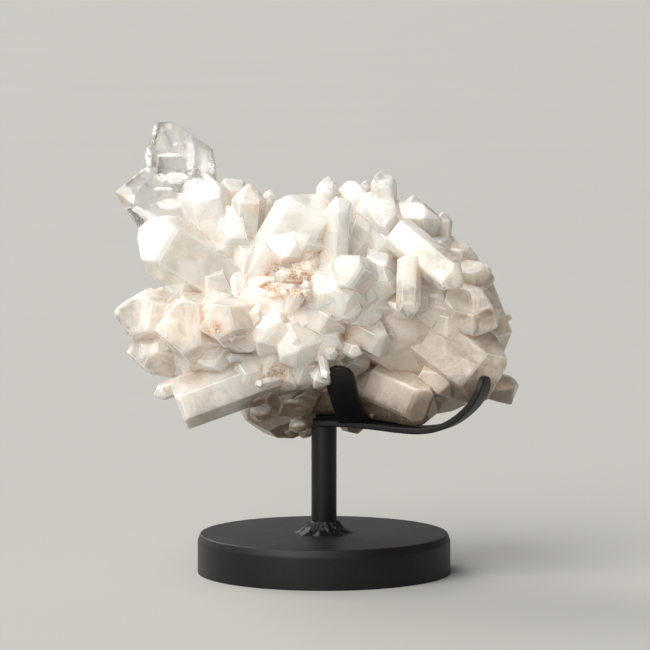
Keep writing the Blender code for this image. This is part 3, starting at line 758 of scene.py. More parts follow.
class Graph:
    """The node tree of one material."""

    def __init__(self, name: str) -> None:
        """Starts an empty material with this name."""
        self.material = bpy.data.materials.new(name)
        self.material.use_nodes = True
        self.tree = self.material.node_tree
        self.tree.nodes.clear()

    @classmethod
    def over(cls, tree: bpy.types.NodeTree) -> Graph:
        """A graph on a node tree that already exists."""
        graph = cls.__new__(cls)
        graph.tree = tree
        return graph

    def node(self, kind: str, settings: dict[str, Any] | None = None, inputs: dict[Any, Any] | None = None,
             output: int | str = 0) -> Wire:
        """Adds a node.

        Args:
            kind: the node's type name.
            settings: properties that are set first, such as a Math node's operation.
            inputs: values or wires by socket name or number.
            output: which socket is given back.

        Returns:
            The chosen output as a wire.
        """
        node = self.tree.nodes.new(kind)
        for key, value in (settings or {}).items():
            setattr(node, key, value)
        for key, value in (inputs or {}).items():
            if isinstance(value, Wire):
                self.tree.links.new(value.socket, node.inputs[key])
            else:
                node.inputs[key].default_value = value
        return Wire(self, node.outputs[output])

    def attribute(self, name: str) -> tuple[Wire, Wire, Wire, Wire]:
        """The four values of a colour attribute."""
        node = self.tree.nodes.new("ShaderNodeAttribute")
        node.attribute_name = name
        parts = self.tree.nodes.new("ShaderNodeSeparateColor")
        self.tree.links.new(node.outputs["Color"], parts.inputs[0])
        return (*(Wire(self, parts.outputs[k]) for k in range(3)), Wire(self, node.outputs["Alpha"]))

    def place(self) -> Wire:
        """Object coordinates, in metres."""
        return self.node("ShaderNodeTexCoord", output="Object")

    def stretched(self, vector: Wire, scale: tuple[float, float, float]) -> Wire:
        """The vector multiplied by a number along each axis."""
        return self.node("ShaderNodeVectorMath", {"operation": "MULTIPLY"}, {0: vector, 1: scale})

    def noise(self, vector: Wire, scale: float, detail: float = 3.0, rough: float = 0.5,
              warp: float = 0.0) -> Wire:
        """Cloudy noise from 0 to 1."""
        return self.node("ShaderNodeTexNoise", {"noise_dimensions": "3D"},
                         {"Vector": vector, "Scale": scale, "Detail": detail, "Roughness": rough,
                          "Distortion": warp})

    def tint(self, amount: Any, first: Any, second: Any) -> Wire:
        """A colour that goes from first to second as the amount goes from 0 to 1."""
        return self.node("ShaderNodeMix", {"data_type": "RGBA"},
                         {0: amount, 6: first, 7: second}, 2)

    def spot(self, place: Wire, centre: Sequence[float], radii: Sequence[float], ragged: Wire) -> Wire:
        """1 at the centre, falling smoothly to 0 at the radii; centre and radii in millimetres."""
        off = self.node("ShaderNodeVectorMath", {"operation": "SUBTRACT"},
                        {0: place, 1: tuple(value * MM for value in centre)})
        near = self.node("ShaderNodeVectorMath", {"operation": "LENGTH"},
                         {0: self.stretched(off, tuple(1 / (MM * value) for value in radii))}, 1)
        return (near + ragged).spread(0.5, 1.0, 1.0, 0.0)

    def bump(self, height: Wire, distance: float, strength: float = 1.0) -> Wire:
        """A normal bent by a height, whose full step is the distance in metres."""
        return self.node("ShaderNodeBump", {}, {"Height": height, "Distance": distance, "Strength": strength})

    def finish(self, surface: Wire, volume: Wire | None = None) -> bpy.types.Material:
        """Links the surface, and the volume if there is one, to the output."""
        inputs = {"Surface": surface}
        if volume:
            inputs["Volume"] = volume
        out = self.tree.nodes.new("ShaderNodeOutputMaterial")
        for key, value in inputs.items():
            self.tree.links.new(value.socket, out.inputs[key])
        return self.material


def rgb(red: float, green: float, blue: float) -> tuple[float, float, float, float]:
    """An opaque colour."""
    return (red, green, blue, 1.0)


@dataclass(frozen=True)
class MilkyQuartz:
    """Cloudy white quartz: light spreads under a glossy skin with growth lines; its crevices, its underside
    and its lower right carry painted shade.
    """

    white: tuple = rgb(0.985, 0.942, 0.888)
    water: tuple = rgb(0.89, 0.845, 0.79)
    rosy: tuple = rgb(0.94, 0.85, 0.77)
    # darker beige painted to the right and low down as shade
    shade_beige: tuple = rgb(0.75, 0.63, 0.50)
    # dark brown painted on the underside as shade
    underside_shade: tuple = rgb(0.24, 0.18, 0.13)
    iron: tuple = rgb(0.72, 0.52, 0.37)
    rust: tuple = rgb(0.30, 0.19, 0.115)
    # darker brown painted into the crevices as shade
    crevice_shade: tuple = rgb(0.70, 0.57, 0.47)
    frost: tuple = rgb(1.0, 0.995, 0.98)
    glow_depth: float = 0.010
    # centre, radii and strength of each patch of snow or veil on the clear crystals
    snow: tuple = (
        ((-77, 0, 185.3), (7.5, 30, 3.4), 1.0), ((-69, 0, 187.5), (5.5, 30, 6.5), 1.0),
        ((-93, 0, 182.6), (3.4, 30, 2.2), 1.0), ((-89.5, 0, 180.6), (3.8, 30, 2.2), 1.0),
        ((-86, 0, 178.6), (3.4, 30, 2.2), 1.0), ((-75, 0, 198.5), (11, 30, 4.0), 0.85),
        ((-58, 0, 203), (5, 30, 9), 0.9), ((-64, 0, 194), (8, 30, 6), 0.9),
        ((-87.5, 0, 208), (2.4, 30, 7), 0.85), ((-66.5, 0, 208), (2.8, 30, 13), 0.8),
        ((-76, 0, 209.6), (9, 30, 1.4), 0.7), ((-62, 0, 180), (6, 30, 8), 0.9),
        ((-80, 0, 193), (7, 30, 1.2), 0.7), ((-84.5, 0, 222), (2.2, 30, 3.5), 0.6),
    )

    def shader(self, g: Graph) -> tuple[Wire, Wire]:
        """Builds the nodes of the milky quartz.

        Args:
            g: the graph they go into.

        Returns:
            The shader, and how much of it a clear crystal shows instead, from 0 to 1.
        """
        milk, stain, lines, rosy = g.attribute("nature")
        rough, worn, reach, shade = g.attribute("form")
        crevice, spots, shade_warmth, under = g.attribute("shelter")
        place = g.place()
        grain = g.node("ShaderNodeUVMap", {"uv_map": "grain"})
        cloud = g.noise(place, 75, 4, 0.6, 0.8)
        patch = g.noise(place, 190, 4, 0.6, 0.4)
        mottle = g.noise(place, 420, 3, 0.6, 0.5)
        speck = g.noise(place, 1300, 3, 0.6)
        veil = g.noise(g.stretched(place, (1.0, 1.0, 2.0)), 120, 4, 0.65, 1.4)
        wisp = (veil - 0.5)._math("ABSOLUTE", veil - 0.5).spread(0.0, 0.035, 1.0, 0.0)
        shard = g.node("ShaderNodeTexVoronoi", {"feature": "F1"}, {"Vector": place, "Scale": 230.0}, "Color")
        chip = g.node("ShaderNodeSeparateColor", {}, {0: shard})
        bands = g.noise(g.stretched(grain, (0.035, 0.85, 1.0)), 1.0, 4, 0.65)

        streaks = g.noise(g.stretched(place, (0.6, 1.0, 3.0)), 330, 4, 0.65, 0.7)
        ragged = (streaks - 0.5) * 1.4
        flakes = streaks.spread(0.34, 0.50) * (0.75 + speck * 0.8)
        snow: Any = 0.0
        for centre, radii, strength in self.snow:
            snow = (g.spot(place, centre, radii, ragged) * strength).at_least(snow)
        snow = (snow * flakes * (1 - milk).spread(0.9, 0.97) * 1.25).clamped()

        cloudy = milk * 1.1 + (cloud - 0.5) * 0.8 + (mottle - 0.5) * 0.3 + (chip - 0.5) * 0.1
        cloudy = (cloudy + (shade - 0.5) * 0.4).clamped()
        colour = g.tint(cloudy, self.water, self.white)
        colour = g.tint(((rosy * cloud.spread(0.38, 0.68)) * 0.6).clamped(), colour, self.rosy)
        # painted shade: darker beige to the right, downwards and on the left crystals
        colour = g.tint((shade_warmth * (0.55 + cloud * 0.5)).clamped(), colour, self.shade_beige)
        # painted shade: low faces that look downwards are tinted dark brown
        colour = g.tint((under * (0.9 + patch * 1.6)).clamped(), colour, self.underside_shade)
        colour = g.tint((wisp * (0.5 - under * 1.5)).clamped(), colour, self.frost)
        colour = g.tint((bands.spread(0.45, 0.75) * lines * 0.2).clamped(), colour, self.water)
        # painted shade: places sheltered by other crystals are tinted darker brown
        sheltered = (crevice * patch.spread(0.25, 0.6) * 0.6).clamped()
        colour = g.tint(sheltered, colour, self.crevice_shade)
        iron = spots * (patch.spread(0.34, 0.62) + mottle.spread(0.5, 0.7) * 0.6)
        iron = iron + stain * (1 - reach * 0.7) * patch.spread(0.48, 0.7) * 0.7
        colour = g.tint((iron * 0.9).clamped(), colour, self.iron)
        dark = spots.spread(0.4, 0.9) * speck.spread(0.45, 0.6) * patch.spread(0.38, 0.55)
        colour = g.tint((dark * 0.9).clamped(), colour, self.rust)
        colour = g.tint((worn * (0.25 - under) + snow).clamped(), colour, self.frost)

        roughness = (0.09 + patch.spread(0.45, 0.75) * 0.2 + crevice * 0.25 + rough * 0.25 + worn * 0.1)
        height = (bands * lines * 0.45 + cloud * 0.5 + patch * 0.25 + mottle * 0.1
                  + speck * 0.04 * (1 + rough * 5) + chip * rough * 0.25)
        shader = g.node("ShaderNodeBsdfPrincipled", {"subsurface_method": "RANDOM_WALK"}, {
            "Base Color": colour,
            "Roughness": roughness.clamped(),
            "IOR": 1.544,
            "Subsurface Weight": 1.0,
            "Subsurface Radius": (1.0, 0.9, 0.8),
            "Subsurface Scale": self.glow_depth,
            "Coat Weight": 0.6,
            "Coat Roughness": 0.03,
            "Normal": g.bump(height, 0.0009),
        })
        glassy = (1 - milk).spread(0.84, 0.94) * (1 - worn * 0.5) * (1 - snow)
        window = (1 - milk) * reach.spread(0.2, 0.95) * cloud.spread(0.30, 0.72) * (1 - iron.clamped())
        window = window + (1 - crevice) * (0.06 + cloud.spread(0.25, 0.75) * 0.22) * (1 - iron.clamped())
        return shader, (glassy + window * (1 - snow) * (1 - worn * 0.2) * (1 - under)).clamped()

    def material(self) -> bpy.types.Material:
        """The milky quartz alone."""
        g = Graph("milky_quartz")
        return g.finish(self.shader(g)[0])


@dataclass(frozen=True)
class CrystalQuartz:
    """Quartz as a crystal has it: water-clear where its milk attribute is 0, milky towards 1."""

    milky: MilkyQuartz = MilkyQuartz()
    tint: tuple = rgb(0.985, 0.985, 0.975)
    honey: tuple = rgb(1.0, 0.945, 0.885)
    absorbed: tuple = rgb(0.93, 0.90, 0.82)
    density: float = 6.0

    def material(self) -> bpy.types.Material:
        """Builds the node tree."""
        g = Graph("crystal_quartz")
        milky, clearness = self.milky.shader(g)
        milk, _, lines, _ = g.attribute("nature")
        _, worn, _, _ = g.attribute("form")
        place = g.place()
        grain = g.node("ShaderNodeUVMap", {"uv_map": "grain"})
        bands = g.noise(g.stretched(grain, (0.05, 0.9, 1.0)), 1.0, 3, 0.6)
        ripple = g.noise(place, 160, 3, 0.5)
        clear = g.node("ShaderNodeBsdfPrincipled", {}, {
            "Base Color": g.tint(milk, self.tint, self.honey),
            "Roughness": 0.015 + worn * 0.3 + ripple.spread(0.55, 0.8) * 0.05,
            "IOR": 1.544,
            "Transmission Weight": 1.0,
            "Normal": g.bump(bands * lines * 0.6 + ripple * 0.3, 0.0003),
        })
        both = g.node("ShaderNodeMixShader", {}, {0: clearness, 1: milky, 2: clear})
        volume = g.node("ShaderNodeVolumeAbsorption", {}, {"Color": self.absorbed, "Density": self.density})
        return g.finish(both, volume)


@dataclass(frozen=True)
class VeilFilm:
    """Healed cracks inside clear quartz: a thin white film, broken up into wisps."""

    white: tuple = rgb(0.95, 0.94, 0.92)

    def material(self) -> bpy.types.Material:
        """Builds the node tree."""
        g = Graph("veil_film")
        place = g.place()
        streak = g.noise(g.stretched(place, (1.0, 1.0, 4.5)), 150, 5, 0.7, 0.8)
        grit = g.noise(place, 1500, 2, 0.6)
        edge = g.attribute("fade")[0]
        cover = (streak.spread(0.42, 0.58) * (0.45 + grit * 0.8) * edge).clamped() * 0.9
        shader = g.node("ShaderNodeBsdfPrincipled", {}, {
            "Base Color": g.tint(grit, self.white, rgb(0.85, 0.84, 0.83)),
            "Roughness": 0.35,
            "Alpha": cover,
        })
        return g.finish(shader)


@dataclass(frozen=True)
class Snow:
    """The bright flecks of trapped gas and milk inside clear quartz."""

    white: tuple = rgb(0.97, 0.965, 0.95)

    def material(self) -> bpy.types.Material:
        """Builds the node tree."""
        g = Graph("snow_flecks")
        grit = g.noise(g.place(), 700, 2, 0.6)
        shader = g.node("ShaderNodeBsdfPrincipled", {}, {
            "Base Color": g.tint(grit.spread(0.4, 0.6), self.white, rgb(0.88, 0.87, 0.85)),
            "Roughness": 0.3 + grit * 0.3,
        })
        return g.finish(shader)


@dataclass(frozen=True)
class PowderCoat:
    """Black powder coat on steel: satin, with the fine orange peel of baked powder."""

    black: tuple = rgb(0.0035, 0.0035, 0.004)
    dusty: tuple = rgb(0.010, 0.010, 0.0105)

    def material(self) -> bpy.types.Material:
        """Builds the node tree."""
        g = Graph("powder_coat")
        place = g.place()
        peel = g.noise(place, 1500, 3, 0.6)
        grit = g.node("ShaderNodeTexVoronoi", {"feature": "F1"}, {"Vector": place, "Scale": 1400.0})
        dust = g.noise(place, 45, 5, 0.65)
        shader = g.node("ShaderNodeBsdfPrincipled", {}, {
            "Base Color": g.tint((dust.spread(0.5, 0.8) * 0.5).clamped(), self.black, self.dusty),
            "Roughness": (0.36 + dust * 0.14 + peel * 0.08).clamped(),
            "Specular IOR Level": 0.32,
            "Normal": g.bump(peel * 0.6 + (1 - grit) * 0.4, 0.00025, 0.6),
        })
        return g.finish(shader)


@dataclass(frozen=True)
class PaleFloor:
    """Plain matt paint on the studio floor."""

    shade: tuple = rgb(0.42, 0.425, 0.415)

    def material(self) -> bpy.types.Material:
        """Builds the node tree."""
        g = Graph("pale_floor")
        fleck = g.noise(g.place(), 3.0, 3, 0.6)
        darker = tuple(0.94 * value for value in self.shade[:3]) + (1.0,)
        shader = g.node("ShaderNodeBsdfPrincipled", {}, {
            "Base Color": g.tint(fleck, self.shade, darker),
            "Roughness": 0.6,
        })
        return g.finish(shader)


@dataclass
class Growth:
    """One grown body of quartz with all that its skin and its milky core need."""

    body: HalfSpaces
    crystal: Crystal | None
    tone: Tone
    habit: Habit
    shade: float
    wear: tuple[float, float] | None = None
    lump: bool = False

    def skin(self, rng: np.random.Generator) -> Skin:
        """The outer surface, with worn edges where it has any wear."""
        body = self.body.worn(self.wear, rng) if self.wear else self.body
        return skin_of(body, self.crystal, self.tone, self.habit, self.shade)

    def core(self, rng: np.random.Generator) -> Skin | None:
        """The milky inside: the sides stand back a little and the end much more, the clearer the more."""
        if self.habit is Habit.MASS or self.lump:
            body = self.body.inset(1.0, 1.0)
        else:
            width = min(self.crystal.width, self.crystal.depth)
            if width < 5:
                return None
            clear = 1 - self.tone.milk
            body = self.body.inset(max(0.8, width * (0.06 + 0.10 * clear)), width * (0.08 + 0.5 * clear))
        return skin_of(body, self.crystal, self.tone, self.habit, self.shade) if body else None


@dataclass
class Cluster:
    """The cluster: a clear skin around milky cores, from large crystals, their neighbours and small ones."""

    seed: int = 11
    wear: tuple[float, float] = (0.15, 0.5)
    fine_wear: tuple[float, float] = (0.1, 0.3)
    neighbours: tuple[int, int] = (0, 4)
    small_count: int = 150
    filling_rays: int = 3000
    filling_count: int = 240
    slope: float = 0.5
    # millimetres: how far a place raises others, how wide a facet is averaged, the shallowest valley that is
    # filled, the least distance between two lumps, the height below which none is set
    valley_reach: float = 22.0
    facet_width: float = 9.0
    least_depth: float = 4.0
    least_gap: float = 6.5
    lowest_lump: float = 84.0
    # rounds of halving and longest edge, for the skin and for the core
    skin_fineness: tuple[int, float] = (4, 4.0)
    core_fineness: tuple[int, float] = (5, 3.0)
    core_swell: float = 0.45
    growths: list[Growth] = field(default_factory=list)
    panes: dict[str, HalfSpaces] = field(default_factory=dict)

    def build(self, arms: list[list[bpy.types.Object]]) -> list[bpy.types.Object]:
        """Makes and dresses the skin, the core and what is sealed in the clear crystals.

        Args:
            arms: two sets of closed bodies that are cut out, for the skin and, larger, for the core.

        Returns:
            The finished pieces.
        """
        rng = np.random.default_rng(self.seed)
        dice = random.Random(CAD_SEED)
        self.growths = [self._mass(centre, half, rng) for centre, half in MASSES]
        for crystal in CRYSTALS:
            body = crystal_body(crystal, dice)
            if crystal.name in PANES:
                body = self.panes[crystal.name] = pane_body(PANES[crystal.name])
            self.growths.append(Growth(body, crystal, crystal.tone, Habit.CRYSTAL, rng.uniform(), self.wear))
        self.growths += self._druse(dice, rng)
        self.growths += [self._mass(centre, half, rng) for centre, half in KEEL_BITS]
        filling = self._filling(rng)
        for crystal in CRYSTALS:
            if crystal.name not in GLASSY:
                self.growths += self._parallel(crystal, rng)
        plates = [Growth(plate_body(*plate), CLEAR_UPPER, WATER, Habit.CRYSTAL, 0.5, (0.08, 0.2))
                  for plate in PLATES]
        self.growths += plates + filling + self._small(rng)
        skins = [growth.skin(rng) for growth in self.growths]
        cores = [growth.core(rng) for growth in self.growths
                 if not (growth.crystal and growth.crystal.name in GLASSY + ("small",))]
        skin = self._united("skin", skins, arms[0])
        core = self._united("core", [core for core in cores if core], arms[1])
        return [self._dressed_skin(skin), self._dressed_core(core), *Inclusions(self.panes).build(rng)]

    def _united(self, name: str, skins: list[Skin], arms: list[bpy.types.Object]) -> Skin:
        """All bodies in one closed surface; the cradle's room is first cut out of each body that it meets.

        Args:
            name: what the pieces on the way are called.
            skins: the closed bodies.
            arms: the room of the bars and the post, which is used up.

        Returns:
            The largest connected shell of the union.
        """
        rooms = np.array([[corner[:] for corner in (room.bound_box[0], room.bound_box[6])] for room in arms])
        rooms /= MM
        pieces = []
        for k, skin in enumerate(skins):
            piece = put(f"{name}_{k}", skin.mesh(f"{name}_{k}"))
            low, high = skin.points.min(axis=0), skin.points.max(axis=0)
            near = [put("room", room.data.copy()) for room, (least, most) in zip(arms, rooms)
                    if (low < most).all() and (high > least).all()]
            if near:
                cut = combined(piece, near, "DIFFERENCE")
                if not cut.polygons:
                    continue
                piece = put(f"{name}_{k}", cut)
            pieces.append(piece)
        for room in arms:
            bpy.data.objects.remove(room)
        united = combined(pieces[0], pieces[1:], "UNION")
        result = Skin.read(united).main_body()
        bpy.data.meshes.remove(united)
        return result

    def _mass(self, centre: Sequence[float], half: Sequence[float], rng: np.random.Generator) -> Growth:
        """One broken lump between the crystals."""
        return Growth(mass_body(centre, half, rng), None, Tone(0.7, 0.35, 0.6), Habit.MASS, rng.uniform())

    def _parallel(self, crystal: Crystal, rng: np.random.Generator) -> list[Growth]:
        """Thinner crystals along the sides of a large one, with nearly the same axis and lower ends.

        Their middle stands off the large crystal's axis so that their outer side just stands proud.

        Args:
            crystal: the large crystal.
            rng: draws how many there are, and their sizes and places.

        Returns:
            The thinner crystals.
        """
        side, back, along = crystal.axes()
        length = np.linalg.norm(np.subtract(crystal.tip, crystal.root))
        twins = []
        amount = 0 if crystal.name in PLAIN else rng.integers(*self.neighbours)
        for _ in range(amount):
            share = rng.uniform(0.35, 0.72)
            off = rng.uniform(0.82, 0.98) - share
            angle = rng.uniform(0, 2 * math.pi)
            shift = side * math.cos(angle) * crystal.width + back * math.sin(angle) * crystal.depth
            shift = shift * off / 2
            lower = length * rng.uniform(0.02, 0.3) + crystal.blunt * 0.5
            lean = along + side * rng.normal(0, 0.025) + back * rng.normal(0, 0.025)
            root = np.array(crystal.root) + shift
            tip = root + unit(lean) * max(length - lower, 4)
            twin = Crystal("twin", tuple(tip), tuple(root), crystal.width * share, crystal.depth * share,
                           crystal.roll + rng.normal(0, 2), rng.choice((0, 0, 1.5)), 0, crystal.tone)
            body = crystal_body(twin, random.Random(int(rng.integers(1 << 30))))
            twins.append(Growth(body, twin, twin.tone, Habit.CRYSTAL, rng.uniform(), self.fine_wear))
        return twins

    def _filling(self, rng: np.random.Generator) -> list[Growth]:
        """Broken lumps in the valleys between the large crystals, which they nearly fill.

        Rays go out from the long axis of the cluster. The least height a place should have along its ray is
        the greatest height of the places around it, each less a share of its distance; a valley lies lower.
        A lump there faces the way in which the places around it, so raised, spread least.
        None is set where its end would show past the large crystals in the front view.

        Args:
            rng: draws the rays and the lumps.

        Returns:
            The lumps, deepest valley first.
        """
        bodies = [g.body for g in self.growths if not (g.crystal and g.crystal.name in GLASSY)]
        count = self.filling_rays
        starts = np.column_stack((rng.uniform(-52, 56, count), rng.uniform(-4, 12, count),
                                  rng.uniform(112, 138, count)))
        ways = unit(rng.normal(0, 1, (count, 3)) + np.sign(starts[:, :1]) * (0.4, 0, 0))
        leave = np.max([body.crossed(starts, ways) for body in bodies], axis=0)
        places = starts + ways * leave[:, None]
        gaps = np.linalg.norm(places[:, None] - places[None], axis=2)
        height = ways @ places.T
        raised = np.where(gaps < self.valley_reach, height - self.slope * gaps, -np.inf)
        depth = raised.max(axis=1) - np.diag(height)
        cover = places + ways * depth[:, None]
        weight = np.exp(-(np.linalg.norm(cover[:, None] - cover[None], axis=2) / self.facet_width) ** 2)
        weight /= weight.sum(axis=1, keepdims=True)
        middle = weight @ cover
        squares = (cover[:, :, None] * cover[:, None, :]).reshape(-1, 9)
        spread = (weight @ squares).reshape(-1, 3, 3) - middle[:, :, None] * middle[:, None, :]
        facing = np.linalg.eigh(spread)[1][:, :, 0]
        facing *= np.sign((facing * ways).sum(axis=1, keepdims=True))
        facing = unit(facing + ways * 0.35)
        tips = places + ways * np.clip(depth + rng.uniform(-4.0, -1.5, count), 0.0, 18)[:, None]
        across = unit(np.cross(ways, rng.normal(0, 1, (count, 3))))
        up = np.cross(ways, across)
        hidden = np.ones(count, bool)
        for edge in (across, -across, up, -up):
            ahead = tips + edge * 5.0 - VIEW * 400
            sight = np.broadcast_to(VIEW, ahead.shape)
            hidden &= np.max([body.crossed(ahead, sight) for body in bodies], axis=0) > 0
        shut = np.any([np.linalg.norm(tips - (x, y, z), axis=1) < r for x, y, z, r in OPEN_PLACES], axis=0)
        order = np.argsort(-depth)
        usable = (depth > self.least_depth) & hidden & ~shut & (places[:, 2] > self.lowest_lump)
        order = order[usable[order]]
        found: list[int] = []
        for k in order:
            if not found or np.linalg.norm(tips[found] - tips[k], axis=1).min() > self.least_gap:
                found.append(k)
        growths = []
        for k in found[:self.filling_count]:
            near = min(CRYSTALS, key=lambda c: np.linalg.norm(np.add(c.tip, c.root) / 2 - places[k]))
            tone = Tone(np.clip(near.tone.milk + rng.normal(0, 0.1), 0.75, 1), near.tone.stain * 0.5,
                        near.tone.rosy)
            half = rng.uniform(7, 14, 3)
            lump = mass_body(tips[k] - facing[k] * half.mean() * 0.95, half, rng, int(rng.integers(13, 20)))
            cap = unit(facing[k] + rng.normal(0, 0.12, 3))
            lump = lump.with_planes(cap[None], np.array([cap @ tips[k]]), FaceKind.BROKEN)
            growths.append(Growth(lump, near, tone, Habit.CRYSTAL, rng.uniform(), self.fine_wear, True))
        LOG.info("%d lumps fill the valleys", len(growths))
        return growths

    def _druse(self, dice: random.Random, rng: np.random.Generator) -> list[Growth]:
        """The small crystals that the CAD solid has, at the same places.

        Args:
            dice: draws places and sizes, in the same order as the CAD solid does.
            rng: draws the shades.

        Returns:
            The small crystals.
        """
        found = []
        for centre, spread, count in DRUSE_PATCHES:
            for _ in range(count):
                place = np.array(centre) + np.array([dice.uniform(-spread, spread) for _ in range(3)])
                away = unit(place - HEART)
                away = unit(away + np.array([dice.uniform(-0.5, 0.5) for _ in range(3)]))
                tip = place + away * dice.uniform(*DRUSE_LENGTH)
                width = dice.uniform(*DRUSE_WIDTH)
                root = place - away * 12
                small = Crystal("druse", tuple(tip), tuple(root), width, width, dice.uniform(0, 60), 0, 0,
                                Tone(0.6, 0.4, 0.5))
                found.append(Growth(crystal_body(small, dice), small, small.tone, Habit.CRYSTAL,
                                    rng.uniform(), (0.04, 0.1)))
        return found

    def _small(self, rng: np.random.Generator) -> list[Growth]:
        """Fine crystals that stand on the lower half of the large ones, in the crevices.

        Args:
            rng: draws where they stand, their sizes and their tones.

        Returns:
            The fine crystals.
        """
        large = [c for c in CRYSTALS if c.name not in GLASSY]
        found = []
        for _ in range(self.small_count):
            crystal = large[rng.integers(len(large))]
            side, back, along = crystal.axes()
            length = np.linalg.norm(np.subtract(crystal.tip, crystal.root))
            angle = rng.uniform(0, 2 * math.pi)
            outward = side * math.cos(angle) + back * math.sin(angle)
            ring = (side * math.cos(angle) * crystal.width + back * math.sin(angle) * crystal.depth) * 0.46
            place = np.array(crystal.root) + along * length * rng.uniform(0.05, 0.5) + ring
            away = outward * rng.uniform(0.4, 1.0) + along * rng.uniform(0.2, 0.9)
            away = unit(away + rng.normal(0, 0.2, 3))
            width = rng.uniform(1.6, 4.2)
            tip = place + away * rng.uniform(1.5, 5.5)
            small = Crystal("small", tuple(tip), tuple(place - away * 4), width,
                            width * rng.uniform(0.7, 1.1), rng.uniform(0, 60), 0, 0,
                            Tone(rng.uniform(0.7, 1), crystal.tone.stain + 0.1, 0.4))
            body = crystal_body(small, random.Random(int(rng.integers(1 << 30))))
            found.append(Growth(body, small, small.tone, Habit.CRYSTAL, rng.uniform()))
        return found

    def _shelter(self, mesh: bpy.types.Mesh, points: Array, clearance: float) -> Array:
        """How sheltered and how stained each point is, and how much painted shade it takes, from 0 to 1, kept
        in the mesh.

        Shelter is the sum over the large bodies of e to the minus distance over 3 mm, seen from 2.5 mm above.
        Stain is the sum over the stains of strength times e to the minus (distance / radius) squared.
        Painted shade, as a darker warm tint, grows to the right and downwards and around the left crystals; a
        dark painted shade lies on the underside.

        Args:
            mesh: gets the values as its attribute "shelter".
            points: the mesh's points in millimetres.
            clearance: how far the mesh lies below the large bodies' surface, in millimetres.

        Returns:
            The normal at each point.
        """
        normals = np.empty(len(mesh.vertices) * 3, np.float32)
        mesh.vertex_normals.foreach_get("vector", normals)
        normals = normals.reshape(-1, 3).astype(float)
        above = points + normals * (2.5 + clearance)
        bodies = [g.body for g in self.growths[:len(MASSES) + len(CRYSTALS)]]
        shelter = sum(np.exp(-np.clip(body.outside(above), 0, None) / 3.0) for body in bodies)
        shelter = np.clip((shelter - 0.55) / 1.7, 0, 1)
        stain = np.zeros(len(points))
        for stains, seen in ((STAINS_FRONT, points[:, 1] < 8), (STAINS_BACK, points[:, 1] > 8)):
            for x, z, radius, strength in stains:
                squared = (points[:, 0] - x) ** 2 + (points[:, 2] + 0.1 * points[:, 1] - z) ** 2
                stain += seen * strength * np.exp(-squared / radius ** 2)
        # painted shade: darker towards the right and the bottom, and in a patch on the left crystals
        shade_warmth = np.clip((points[:, 0] + 0.9 * (128 - points[:, 2]) - 5) / 75, 0, 1)
        shade_warmth = np.maximum(shade_warmth, np.clip((points[:, 0] - 62) / 28, 0, 1) * 1.3)
        shade_left = np.exp(-((points[:, 0] + 74) ** 2 + (points[:, 2] - 124) ** 2) / 27 ** 2)
        shade_warmth = np.maximum(shade_warmth, 0.55 * shade_left)
        # painted shade on the underside: low places whose normal looks down
        under = np.clip((102 - points[:, 2]) / 18, 0, 1) * np.clip((0.45 - normals[:, 2]) / 0.7, 0, 1)
        under *= 0.15 + 0.85 * np.clip((points[:, 0] + 44) / 14, 0, 1)
        values = np.stack((shelter, np.clip(stain, 0, 1), shade_warmth, under), axis=1)
        values = values.astype(np.float32).ravel()
        mesh.attributes.new("shelter", "FLOAT_COLOR", "POINT").data.foreach_set("color", values)
        return normals

    def _dressed_skin(self, skin: Skin) -> bpy.types.Object:
        """The outer surface, clear or milky."""
        rounds, longest = self.skin_fineness
        for _ in range(rounds):
            skin = skin.split_long_edges(np.full(len(skin.triangles), longest))
        mesh = skin.mesh("crystal_skin")
        self._shelter(mesh, skin.points, 0.0)
        return put("crystal_skin", mesh, CrystalQuartz().material())

    def _dressed_core(self, skin: Skin) -> bpy.types.Object:
        """The milky inside, its surface swelling and sinking like cloud: layered noise times core_swell."""
        rounds, longest = self.core_fineness
        for _ in range(rounds):
            skin = skin.split_long_edges(np.full(len(skin.triangles), longest))
        mesh = skin.mesh("milky_core")
        normals = self._shelter(mesh, skin.points, 1.0)
        height = layered_noise(skin.points / 4.0, 3, 5) * self.core_swell
        moved = (skin.points + normals * height[:, None]) * MM
        mesh.vertices.foreach_set("co", moved.astype(np.float32).ravel())
        mesh.polygons.foreach_set("use_smooth", np.ones(len(mesh.polygons), bool))
        mesh.update()
        return put("milky_core", mesh, MilkyQuartz().material())


